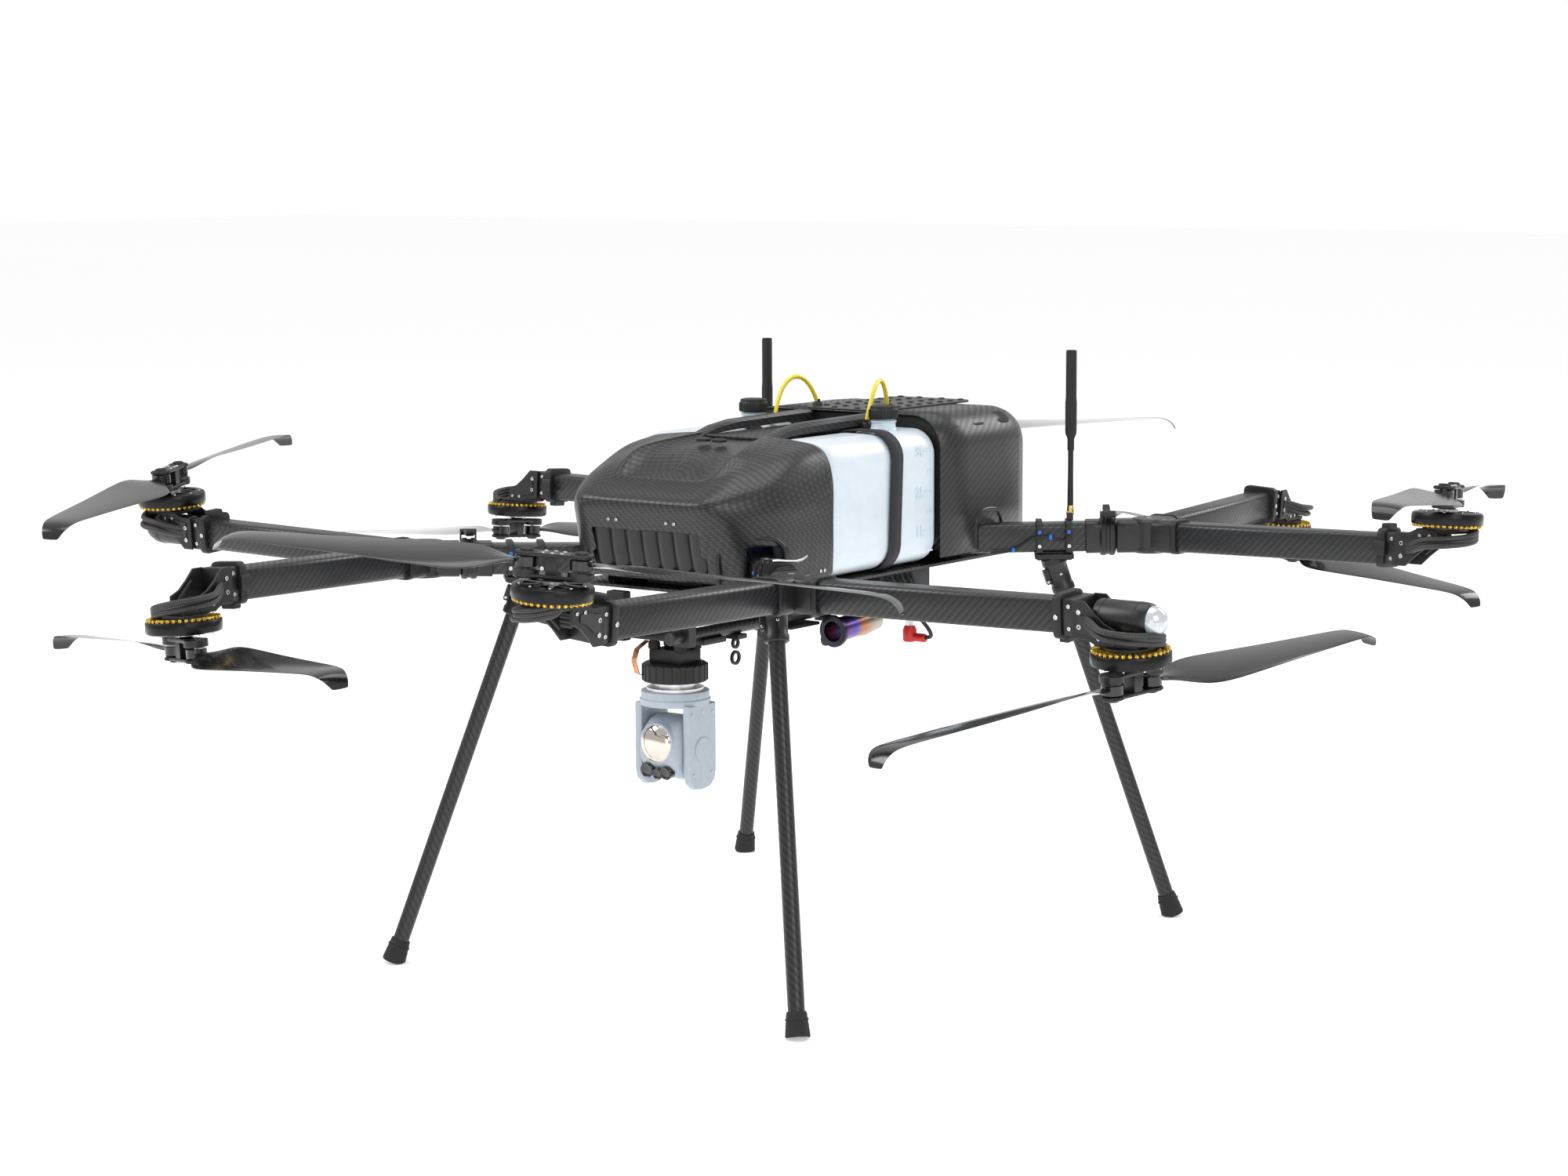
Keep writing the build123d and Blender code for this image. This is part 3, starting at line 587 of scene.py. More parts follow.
def build_nose():
    shape = Shape()
    grid = catmull_grid(NOSE_CAGE)
    half = [[p.copy() for p in row] for row in grid]
    rows = []
    for row in half:
        left = [Vector((-p.x, p.y, p.z)) for p in reversed(row[1:])]
        rows.append(left + row)
    arches = []
    for corner in ("front_left", "front_right"):
        arches.append(corner_frame(corner, 150).inverted())
    def open_at(p):
        for inverse in arches:
            q = inverse @ p
            if -90 < q.z < 110 and abs(q.x) < 25 and -40 < q.y < 34:
                return True
        louvre = abs(p.x) < 84 and p.y < -245 and 503 < p.z < 547
        return louvre
    start = [shape.put(row) for row in rows]
    count = len(rows[0])
    v = 0.0
    for a in range(len(rows) - 1):
        u = 0.0
        step = (rows[a + 1][count // 2] - rows[a][count // 2]).length
        for k in range(count - 1):
            du = (rows[a][k + 1] - rows[a][k]).length
            middle = (rows[a][k] + rows[a + 1][k + 1]) / 2
            if not open_at(middle):
                ids = [start[a] + k, start[a] + k + 1, start[a + 1] + k + 1, start[a + 1] + k]
                shape.face(ids, "skin", [(u, v), (u + du, v), (u + du, v + step), (u, v + step)])
            u += du
        v += step
    obj = shape.done("nose_shell", "airframe", ("nose_fairing",), "carbon_skin", angle=60, levels=1)
    solid = obj.modifiers.new("thickness", "SOLIDIFY")
    solid.thickness = 0.0022
    solid.offset = -1
    details = Shape()
    for k in range(7):
        a, b = -84 + 24 * k, -60 + 24 * k
        rings = []
        for z, y in ((499, -259), (507, -263), (522, -267), (538, -270), (551, -272.5)):
            rings.append([(a + (b - a) * t / 8, y + 6 - 7 * math.sin(math.pi * t / 8) ** 0.7, z) for t in range(9)])
        details.loft(rings, "satin", close=False, caps=False)
    for side in (1, -1):
        for x in (38, 50):
            details.screw((side * x, -279.6, 561), (0, -1, .25), 2.2)
        details.at = Matrix.Translation((side * 12, -140, 646.5))
        details.lathe([(9, 0), (9, 3), (7.5, 4), (3, 4)], "black", 28)
        details.at = Matrix.Identity(4)
        details.screw((side * 151.5, -115, 496), (side, 0, 0), 2.2)
        details.screw((side * 151.5, -123, 496), (side, 0, 0), 2.2)
    details.done("nose_details", "airframe", ("nose_louvre_panel",), "black_plastic")
    rims = Shape()
    for side in (1, -1):
        for y0, y1, top in ((-260, -196, 545), (217, 277, 538)):
            x, mid, half = side * 153.2, (y0 + y1) / 2, (y1 - y0) / 2
            arch = [(x, y0, 489), (x, y0, 505), (x, y0 + 1, top - 16)]
            arch += [(x, mid - half * .62, top - 3), (x, mid, top), (x, mid + half * .62, top - 3)]
            arch += [(x, y1 - 1, top - 16), (x, y1, 505), (x, y1, 489)]
            if y0 < 0:
                arch = [(side * nose_side(y), y, z) for _, y, z in arch]
            rims.wire(arch, 3.4, "satin", 12)
            back = [(y - mid, z) for _, y, z in arch]
            # the rear shell has no cut-out, so a thin glossy black sheet in the arch's outline is painted shade: it
            # stands for the dark gap round the boom where it enters the shell
            if y0 > 0:
                rims.at = plane((side * 152.6, mid, 0), (side, 0, 0), (0, side, 0))
                rims.prism([(y * .96, z - 1) for y, z in back], 0, .6, "lens", .2)
                rims.at = Matrix.Identity(4)
    rims.done("boom_rims", "airframe")


def build_rear():
    shape = Shape()
    stations = []
    for y, inset in ((134.6, 0), (200, 0), (280, 0), (320, 2), (342, 9), (354, 20), (361, 40)):
        stations.append((y, inset))
    rings = []
    for y, inset in stations:
        wide, top = 152.5 - inset, 664.5 - inset * 0.55
        bottom = 486
        pts = [(-wide, bottom), (-wide, 540), (-wide, 600)]
        for k in range(9):
            t = math.radians(180 - 90 * k / 8)
            pts.append((-wide + 42 + 42 * math.cos(t), top - 42 + 42 * math.sin(t)))
        for k in range(1, 8):
            pts.append((-(wide - 42) + 2 * (wide - 42) * k / 8, top))
        for k in range(9):
            t = math.radians(90 - 90 * k / 8)
            pts.append((wide - 42 + 42 * math.cos(t), top - 42 + 42 * math.sin(t)))
        pts += [(wide, 600), (wide, 540), (wide, bottom)]
        rings.append([(x, y, z) for x, z in pts])
    shape.loft(rings, "skin", close=False, caps=False)
    back = rings[-1]
    shape.flat([shape.put(back) + k for k in range(len(back))], [Vector(p) for p in back], "skin")
    for y in (140, 300):
        shape.at = plane((0, y, 576), (0, 1, 0), (1, 0, 0))
        shape.prism(rounded(298, 172, 40, 8), 0, 2, "black", .5)
        shape.at = Matrix.Identity(4)
    obj = shape.done("rear_shell", "airframe", ("rear_fairing",), "carbon_skin", angle=60)
    solid = obj.modifiers.new("thickness", "SOLIDIFY")
    solid.thickness = 0.0022
    solid.offset = 1
    top = Shape()
    top.prism(rounded(118, 216, 10), 0, 3, "satin")
    top.verts = [v + Vector((0, 244, 666)) for v in top.verts]
    for row in range(9):
        for side in (1, -1):
            for x in (18, 48):
                top.at = Matrix.Translation((side * x, 146 + row * 24.5, 669))
                top.lathe([(4.5, 0), (4.2, 1), (2.4, 1.6), (1.4, .6)], "black", 16)
    top.at = Matrix.Identity(4)
    for side in (1, -1):
        rings = []
        for y, base, tall in ((-118, 640, 4), (-96, 646, 6), (-70, 650, 9), (-30, 652, 12), (40, 653, 12), (126, 654, 12), (134, 654, 11)):
            rings.append([(side * x, y, base + z * tall / 12) for x, z in ((43, 0), (43, 9), (46, 12), (60, 12), (65, 8), (66, 0))])
        top.loft(rings if side < 0 else [ring[::-1] for ring in rings], "skin")
        keep = top.at
        for y in (176, 236, 296):
            top.at = Matrix.Translation((side * 137, y, 651)) @ Matrix.Rotation(side * 0.72, 4, "Y")
            top.prism(rounded(20, 30, 9), 0, 4.5, "rubber")
        top.at = keep
        for y in (162, 171):
            top.screw((side * 152.6, y, 494), (side, 0, 0), 2.2)
    top.prism([(-44, -96), (44, -96), (44, 134), (-44, 134)], 646, 650, "skin")
    top.done("top_plate_and_rails", "airframe", ("top_deck",), "carbon_skin")


def build_tanks():
    for side, name in ((1, "left"), (-1, "right")):
        shape = Shape()
        rings = []
        for y, inset in ((-96, 5), (-94.5, 2.2), (-91, .6), (-86, 0), (20, 0), (29, 1.6), (53, 1.6), (62, 0), (125, 0), (130, .6), (132.4, 2.4), (133, 5)):
            rings.append([(side * (102 + x), y, 565 + z) for x, z in rounded(92 - 2 * inset, 170 - 2 * inset, 32 - inset / 2, 9)])
        if side < 0:
            rings = [ring[::-1] for ring in rings]
        shape.loft(rings, "tank")
        shape.at = Matrix.Translation((side * 102, 83, 648))
        shape.lathe([(22, 0), (17.5, 2), (15.5, 6), (14.8, 15), (14.8, 17), (13.2, 17)], "tank", 40)
        for radius, low in ((16.4, 11.5),):
            shape.lathe([(14.6, low), (radius, low + .6), (radius, low + 2.4), (14.6, low + 3)], "tank", 40, caps=False)
        shape.at = Matrix.Identity(4)
        for litre, z in ((3, 624.5), (2, 572), (1, 523)):
            for dz, wide in ((0, 20), (-26, 13)):
                x = (147.6, 148.7)
                shape.box(sorted((side * x[0], side * x[1])), (125 - wide, 125), (z + dz - 1.1, z + dz + 1.1), "tank", .3)
        shape.done(f"fuel_tank_{name}", "airframe", ("fuel_tanks",), "tank_plastic", angle=50)
        for litre, z in ((3, 624.5), (2, 572), (1, 523)):
            data = bpy.data.curves.new("numeral", "FONT")
            data.body = f"{litre}L"
            data.size = 0.021
            data.extrude = 0.0005
            temp = bpy.data.objects.new("numeral", data)
            mesh = bpy.data.meshes.new_from_object(temp)
            bpy.data.objects.remove(temp)
            turn = Matrix(((0, 0, side), (side, 0, 0), (0, 1, 0))).to_4x4()
            mesh.transform(Matrix.Translation((side * .1483, (.086 if side > 0 else .108), (z - 7) * MM)) @ turn)
            mesh.uv_layers.new(name="weave")
            mesh.materials.clear()
            mesh.materials.append(MAT["tank"])
            obj = bpy.data.objects.new(f"litre_mark_{name}_{litre}", mesh)
            bpy.context.scene.collection.objects.link(obj)
            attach(obj, "airframe")
        cap = Shape()
        cap.at = Matrix.Translation((side * 102, 83, 664))
        cap.lathe([(14.3, 0), (17.6, 0), (17.9, 1), (17.9, 12), (17, 13.4), (17.2, 14), (16.4, 16.4), (13, 17), (12, 16.2), (4, 16.2)], "black", 48)
        for k in range(30):
            t = 2 * math.pi * k / 30
            cap.rod((17.9 * math.cos(t), 17.9 * math.sin(t), 1.2), (17.9 * math.cos(t), 17.9 * math.sin(t), 11.8), .9, "black", 6)
        cap.done(f"filler_cap_{name}", f"tank_cap_{name}", (f"tank_cap_{name}",), "black_plastic")
        band = Shape()
        outer = rounded(96.5, 174.5, 34, 9)
        rings = []
        for grow, y in ((0, 29), (0, 41), (0, 53)):
            rings.append([(side * (102 + x), y + 3 * math.sin(z * .02), 565 + z) for x, z in outer])
        band.loft(rings, "web", caps=False)
        obj = band.done(f"tank_strap_{name}", "airframe", ("tank_straps",), "webbing", angle=60)
        solid = obj.modifiers.new("thickness", "SOLIDIFY")
        solid.thickness = 0.0016
        solid.offset = 0


# ---- arms ---------------------------------------------------------------------------------
def build_arm(corner, number):
    shape = Shape()
    centre = fork_centre(corner)
    at, origin, axis = motor_frame(number, corner)
    upright = axis.z > 0
    out = at.to_3x3().col[0]
    square_tube(shape, toward(centre, origin, 46), toward(origin, centre, 73), 37.4, 6, "tube")
    shape.at = at
    # clamp ring, end block and truss bracket
    for x in ((-81.4, -71.5),):
        keep = shape.at
        shape.at = at @ plane((x[0], 0, 0), (1, 0, 0), (0, 0, 1))
        shape.prism(rounded(49, 47, 7), 0, 10, "black", 1.2)
        shape.at = keep
    shape.box((-82, -71), (-10, 10), (20, 30), "black", 1.5)
    shape.box((-84, -69), (-27, -22), (-9, 9), "black", 1.5)
    shape.box((-72, -54), (-20, 20), (-19.7, 19.7), "satin", 2)
    for side in (1, -1):
        for z in (-12, 12):
            shape.screw((-63, side * 20.2, z), (0, side, 0), 2.4)
            shape.screw((-48, side * 24.4, z * .66), (0, side, 0), 2.8)
        shape.screw((-77, side * 24, 0), (0, side, 0), 2.8)
        plate = [(-57, -20), (-42, -20), (-30, -8), (-18, 2), (-4, 8), (-4, 26), (-30, 26), (-40, 21), (-57, 21)]
        keep = shape.at
        shape.at = at @ plane((0, side * 21, 0), (0, side, 0), (1, 0, 0))
        shape.prism([(x, -side * z) for x, z in plate], 0, 3.2, "black", .8)
        shape.prism([(x * .62 - 14, -side * (z * .5 + 5)) for x, z in plate], 3.2, 4.4, "satin", .5)
        shape.at = keep
        for x in (-24, -11):
            shape.screw((x, side * 24.4, 19), (0, side, 0), 2.2)
        shape.rod((-36, side * 20, -6), (-6, side * 20, 20), 2.4, "black")
    shape.box((-30, 22), (-23.5, 23.5), (23, 27.4), "black", 1)
    shape.lathe([(27, 27), (29.5, 27.6), (29.5, 31.4), (28, 32)], "satin", 48)
    for k in range(8):
        t = 2 * math.pi * (k + .5) / 8
        shape.screw((25.5 * math.cos(t), 25.5 * math.sin(t), 31.8), (0, 0, 1), 1.8)
    shape.done(f"arm_{number}", f"fork_{corner}", (f"fork_{corner}",), "carbon_tube", angle=35)
    # stator with its windings
    coil = Shape()
    coil.at = at
    coil.lathe([(26, 32.2), (39.2, 32.4), (39.6, 33.4), (39.6, 42.6), (30, 43)], "black", 64)
    for k in range(36):
        t = 2 * math.pi * k / 36
        c, s = math.cos(t), math.sin(t)
        coil.rod((27 * c, 27 * s, 33.4), (42.2 * c, 42.2 * s, 32.2), 2.3, "gold", 8, 0.9)
    coil.done(f"stator_{number}", f"fork_{corner}", (), "cast_aluminium")
    # braided phase wires in a loop round the outside of the motor
    wires = Shape()
    wires.at = at
    for k, (radius, lift) in enumerate(((35, 12), (41, 8), (38, 17))):
        side = 1 if number % 2 else -1
        route = [(-50, side * 14, lift - 12), (-34, side * 27, lift - 9), (-10, side * radius, lift - 2),
                 (18, side * (radius - 4), lift + 1), (34, side * 16, lift + 4), (36, -side * 6, lift + 8), (24, -side * 22, lift + 13), (14, -side * 24, 27)]
        wires.wire(route, 3.3, "braid", 10)
    wires.done(f"phase_wires_{number}", f"fork_{corner}", (), "black_rubber")
    if number in (1, 5):
        pod = Shape()
        pod.at = at @ plane((-37, 0, 0), (1, 0, 0))
        pod.lathe([(16, 0), (19, 1), (19.8, 3), (19.8, 55), (19, 62), (17, 65)], "satin", 48)
        pod.lathe([(16.6, 64), (16.6, 66), (15.8, 70), (12.6, 75.5), (8, 79), (3, 80.4)], "dome" if number == 5 else "satin", 40)
        for z in (8, 50):
            pod.lathe([(19.6, z), (20.1, z + .5), (20.1, z + 1.5), (19.6, z + 2)], "black", 48, caps=False)
        pod.done(f"light_pod_{number}", f"fork_{corner}", (), "motor_black")
    return upright


def build_fork(corner):
    shape = Shape()
    centre, root = fork_centre(corner), boom_root(corner)
    square_tube(shape, toward(centre, root, 42), centre + (centre - root).normalized() * 8, 42.5, 9, "satin")
    square_tube(shape, toward(centre, root, 86), toward(centre, root, 40), 31, 4, "satin")
    for number in CORNERS[corner][4]:
        tip = mm(JOINTS[f"rotor_{number}_spin"]["pos_m"])
        axis = Vector(JOINTS[f"rotor_{number}_spin"]["axis"]).normalized()
        tip = tip - axis * 40
        square_tube(shape, centre, toward(centre, tip, 46), 41.5, 8, "satin")
        square_tube(shape, toward(centre, tip, 42), toward(centre, tip, 50), 43, 8, "black")
    shape.at = Matrix.Translation(centre)
    shape.lathe([(22, -22), (25, -19), (25, 19), (22, 22)], "satin", 36)
    shape.at = Matrix.Identity(4)
    shape.screw(centre + Vector((0, 0, 21)), (0, 0, 1), 4.5)
    shape.done(f"fork_moulding_{corner}", f"fork_{corner}", (), "carbon_tube")


def build_boom(corner):
    side = CORNERS[corner][0]
    centre, root = fork_centre(corner), boom_root(corner)
    shape = Shape()
    square_tube(shape, root, toward(centre, root, 80), 37.2, 6, "tube")
    square_tube(shape, toward(centre, root, 82), toward(centre, root, 62), 42, 8, "satin")
    shape.at = corner_frame(corner, 64)
    shape.lathe([(20, 0), (24, 0.5), (25.4, 2), (25.4, 7), (24, 8), (24, 12), (25.4, 13), (25.4, 18), (24, 19.4), (20, 20.5)], "black", 48)
    hinge = JOINTS[f"cam_lever_{corner}_hinge"]
    shape.at = corner_frame(corner, 54)
    for z in (-9.2, 9.2):
        keep = shape.at
        shape.at = shape.at @ Matrix.Translation((0, 0, z))
        shape.prism([(-25, 34), (-25, 18), (-14, 19), (-12, 27), (-15, 34)], -.8, .8, "black", .3)
        shape.at = keep
    shape.rod((-20, 30.5, -10), (-20, 30.5, 10), 1.5, "steel", 12)
    shape.done(f"boom_{corner}", "airframe", ("booms",), "carbon_tube")
    lever = Shape()
    lever.at = corner_frame(corner, 54)
    metal = "steel" if corner == "front_left" else "black"
    keep = lever.at
    lever.at = keep @ Matrix.Translation((-20, 30.5, 0))
    lever.lathe([(1.8, -8), (3.8, -8), (4, -7.5), (4, 7.5), (3.8, 8), (1.8, 8)], metal, 24)
    lever.at = keep
    rings = []
    for x, y, wide, thick in ((-18, 31, 15, 4), (-8, 31.6, 13, 3.6), (4, 30.6, 11, 3.2), (14, 30.4, 10, 3), (22, 33, 10, 2.8), (27, 36.5, 9, 2.4)):
        rings.append([(x, y + b, a) for a, b in rounded(wide, thick, thick * .42, 3)])
    lever.loft(rings, metal)
    lever.done(f"lever_{corner}", f"cam_lever_{corner}", (f"cam_lever_{corner}",), "steel")
    # bracket straps, bottom plate and the leg's socket
    bracket = Shape()
    for back in (104, 142):
        bracket.at = corner_frame(corner, back + 4)
        outer = rounded(44.5, 44.5, 8, 5)
        rings = [[(x * s, y * s, z) for x, y in outer] for s, z in ((.985, 0), (1, .8), (1, 7.2), (.985, 8), (.84, 8), (.84, 0), (.985, 0))]
        bracket.loft(rings, "black", caps=False)
        for x in (-17, 17):
            for s in (-1, 1):
                bracket.rod((x, -24, 4), (x, -28.5, 4), 3.4, "black", 14)
        bracket.screw((-22.4, 8, 4), (-1, 0, 0), 2.6, "blue")
        bracket.screw((22.4, 8, 4), (1, 0, 0), 2.6, "blue")
        bracket.screw((-22.4, -10, 4), (-1, 0, 0), 2.6)
        bracket.screw((22.4, -10, 4), (1, 0, 0), 2.6)
    bracket.at = corner_frame(corner, 123)
    bracket.box((-22, 22), (-27, -21), (-25, 25), "black", 1.2)
    axis = Vector(JOINTS[f"leg_{corner}_slide"]["axis"]).normalized()
    top = toward(centre, root, 123)
    top = Vector((top.x, top.y, 474))
    bracket.at = plane(top, axis)
    bracket.lathe([(12, -4), (16.5, -2), (17, 6), (14.2, 10), (13.8, 34), (15, 36), (15, 43), (13.4, 44.5), (10.6, 44.5), (10.6, 40)], "satin", 36)
    bracket.box((12, 19), (-5, 5), (10, 30), "black", 1.5)
    bracket.rod((17, -7, 26), (17, 7, 26), 2, "steel")
    bracket.rod((0, -16, 20), (0, 16, 20), 1.8, "steel")
    bracket.done(f"leg_bracket_{corner}", "airframe", ("leg_brackets",), "carbon_tube")
    # leg
    foot = Vector((side * CORNERS[corner][3][0], CORNERS[corner][3][1], 0))
    length = (foot - top).length
    leg = Shape()
    leg.at = plane(top, axis)
    leg.lathe([(8.5, 9), (9.9, 9.6), (9.9, length - 14)], "tube", 40)
    leg.done(f"leg_tube_{corner}", f"leg_{corner}", (f"leg_{corner}",), "carbon_tube")
    boot = Shape()
    boot.at = plane(top, axis)
    boot.lathe([(10, length - 31), (11.4, length - 31), (12, length - 29), (14.4, length - 6), (14.6, length - 3), (13.6, length - 1.5)], "rubber", 40)
    boot.at = Matrix.Identity(4)
    boot.verts = [Vector((v.x, v.y, max(v.z, 0.2))) for v in boot.verts]
    boot.at = plane(top, axis)
    for z in (length - 24, length - 17):
        boot.lathe([(12.4, z), (13.6, z + 1), (13.8, z + 2), (13.2, z + 3)], "rubber", 40, caps=False)
    boot.done(f"boot_{corner}", f"leg_{corner}", (), "black_rubber")


# ---- rotors -------------------------------------------------------------------------------
BLADE = (
    # reach, chord, thickness, twist, sideways shift, drop
    (9, 17, 10, 0, 0, 0), (18, 20, 10, 4, 0, 0), (28, 30, 9, 10, -1, 0), (40, 46, 8, 15, -3.5, 0), (54, 58, 7, 17, -6, 0),
    (72, 64, 6.5, 17, -7, 0), (95, 66, 6, 15, -7, 0), (130, 63, 5.4, 13, -6.4, 0), (170, 58, 5, 11, -5, 0),
    (210, 53, 4.4, 9.4, -3.6, 0), (250, 48, 3.8, 8, -2, 0), (285, 43.5, 3.2, 7, -.8, 0), (308, 40, 2.8, 6, 0, .2),
    (320, 38, 2.6, 5.6, 0, 1.2), (328, 35, 2.4, 5, 0, 3.2), (334, 30.5, 2.2, 4.6, 1, 6.6), (338, 26, 2, 4, 2, 11), (340.5, 21, 1.6, 3, 3, 16), (341, 18.5, 1.0, 3, 3.4, 18.4),
)


def airfoil(chord, thick, steps=11):
    pts = []
    for sign in (1, -1):
        span = range(steps) if sign > 0 else range(1, steps - 1)
        for k in span:
            share = k / (steps - 1) if sign > 0 else 1 - k / (steps - 1)
            t = 0.5 * (1 - math.cos(math.pi * share))
            y = thick * 2.6 * (0.2969 * math.sqrt(t) - .126 * t - .3516 * t * t + .2843 * t ** 3 - .1036 * t ** 4)
            camber = 0.04 * chord * math.sin(math.pi * t)
            pts.append((chord * (t - .5), sign * y + camber * .6))
    return pts


def build_blade(number, letter, upright):
    joint = JOINTS[f"blade_{number}_{letter}_fold"]
    low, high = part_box(f"blade_{number}_{letter}")
    pin = mm(joint["pos_m"])
    thrust = Vector(joint["axis"]).normalized()
    angle = math.radians(BLADE_ANGLES[number]["ab".index(letter)])
    heading = Vector((math.cos(angle), math.sin(angle), 0))
    heading = (heading - thrust * heading.dot(thrust)).normalized()
    at = Matrix.Translation(pin) @ Matrix((heading, thrust.cross(heading), thrust)).transposed().to_4x4()
    flip = -1 if upright else 1
    shape = Shape()
    shape.at = at
    rings = []
    for reach, chord, thick, twist, shift, drop in BLADE:
        lean = math.radians(twist)
        ring = []
        for a, b in airfoil(chord, thick):
            y = a * math.cos(lean) - b * math.sin(lean)
            z = a * math.sin(lean) + b * math.cos(lean)
            ring.append((reach, flip * (shift + y), z - drop))
        rings.append(ring if flip > 0 else ring[::-1])
    shape.loft(rings, "gloss")
    shape.done(f"propeller_{number}_{letter}", f"blade_{number}_{letter}", (f"blade_{number}_{letter}",), "gloss_carbon", angle=60, levels=1)
    root = Shape()
    root.at = at
    root.lathe([(2.6, -5.7), (11.4, -5.7), (12, -5), (12, 5), (11.4, 5.7), (2.6, 5.7)], "gloss", 40)
    root.done(f"blade_root_{number}_{letter}", f"blade_{number}_{letter}", (), "gloss_carbon")


BLADE_ANGLES = {1: (294, 111), 2: (160, 341), 3: (259, 79), 4: (204, 21), 5: (257, 74), 6: (284, 106), 7: (342, 160), 8: (23, 205)}


def build_rotor(number, corner):
    at, origin, axis = motor_frame(number, corner)
    shape = Shape()
    shape.at = at
    shape.lathe([(41.2, 34), (42.8, 34), (43.5, 35), (43.5, 44.5), (42.4, 47.4), (39, 48.8), (31, 49.2), (31, 46.4), (41, 46.2)], "motor", 72, caps=False)
    shape.lathe([(4.2, 49.4), (14, 49.4), (16.5, 48.6), (16.5, 46.6), (4.2, 46.6)], "motor", 40, caps=False)
    for k in range(10):
        t = 2 * math.pi * k / 10
        keep = shape.at
        shape.at = at @ Matrix.Rotation(t, 4, "Z")
        shape.box((14, 33), (-3.2, 3.2), (46.4, 49), "motor", .8)
        shape.screw((36, 0, 48.9), (0, 0, 1), 1.5)
        shape.at = keep
    shape.lathe([(3.9, 30), (4, 30.4), (4, 55)], "steel", 20)
    shape.lathe([(12.6, 49.2), (12.6, 52), (9, 53.2), (7, 54)], "alu", 32)
    joint = JOINTS[f"blade_{number}_a_fold"]
    local = at.inverted() @ mm(joint["pos_m"])
    turn = math.atan2(local.y, local.x)
    shape.at = at @ Matrix.Rotation(turn, 4, "Z")
    waist = [(-29.4, 13), (-12, 11), (12, 11), (29.4, 13), (29.4, -13), (12, -11), (-12, -11), (-29.4, -13)]
    shape.prism(waist, 54, 58.6, "satin", 1)
    shape.box((-6, 6), (-10, 10), (58, 77.4), "satin", 1)
    top = [(-29.4, 11.5), (-18, 10.5), (18, 10.5), (29.4, 11.5), (29.4, -11.5), (18, -10.5), (-18, -10.5), (-29.4, -11.5)]
    shape.prism(top, 77.2, 80.8, "satin", .8)
    for side in (1, -1):
        x = side * 29.4
        keep = shape.at
        shape.at = keep @ Matrix.Translation((x, 0, 0))
        shape.lathe([(13, 54), (14, 55), (14, 62), (13, 63), (3, 63)], "satin", 40)
        shape.lathe([(11.2, 76.9), (12.4, 77.6), (12.4, 80.6), (11.6, 81.2), (7.4, 81.2), (7, 83.2), (5.4, 84), (3, 83.4)], "black", 40)
        shape.lathe([(2.5, 60), (2.5, 80)], "steel", 16)
        for k in range(14):
            t = 2 * math.pi * k / 14
            shape.rod((12.3 * math.cos(t), 12.3 * math.sin(t), 77.8), (12.3 * math.cos(t), 12.3 * math.sin(t), 80.6), .9, "black", 6)
        shape.at = keep
        shape.screw((side * 10, 6, 80.8), (0, 0, 1), 2)
        shape.screw((side * 10, -6, 80.8), (0, 0, 1), 2)
        shape.screw((0, side * 7, 80.8), (0, 0, 1), 2.3)
    shape.done(f"motor_bell_and_hub_{number}", f"rotor_{number}", (f"rotor_{number}",), "motor_black")


# ---- antennas, gimbal and underside -------------------------------------------------------
def build_antennas():
    shape = Shape()
    for corner in ("rear_left", "rear_right"):
        at = corner_frame(corner, 102).translation
        x, y, foot = at.x, at.y, at.z + 22.5
        shape.at = corner_frame(corner, 106)
        shape.box((-11, 11), (21.5, 31), (0, 8), "black", 1)
        shape.at = Matrix.Translation((x, y, foot))
        shape.lathe([(6, 6), (6, 9), (5, 10)], "gold_pin", 6)
        shape.lathe([(4.4, 10), (4.4, 16), (3.6, 18)], "gold_pin", 24)
        shape.lathe([(3.6, 16), (3.9, 20), (3.5, 60), (3.5, 88), (4.4, 90), (4.4, 104), (7, 110), (7.4, 114), (7.5, 150), (6.9, 158), (6.9, 216), (6.2, 218)], "rubber", 36)
        shape.at = Matrix.Identity(4)
    shape.done("antenna_masts", "airframe", ("antennas",), "black_rubber")
    cable = Shape()
    centre, root = fork_centre("rear_left"), boom_root("rear_left")
    route = []
    for back, height in ((205, -17), (176, -14), (150, 1), (128, 2), (112, -3), (100, 6)):
        route.append(corner_frame("rear_left", back) @ Vector((-24.2, height, 0)))
    cable.wire(route, 1.5, "rubber")
    for back, height in ((176, -14), (128, 2)):
        cable.at = corner_frame("rear_left", back)
        cable.box((-26.6, -18), (height - 3, height + 3), (-2, 2), "blue", .8)
    cable.done("antenna_lead", "airframe", ("antenna_cable",), "black_rubber")


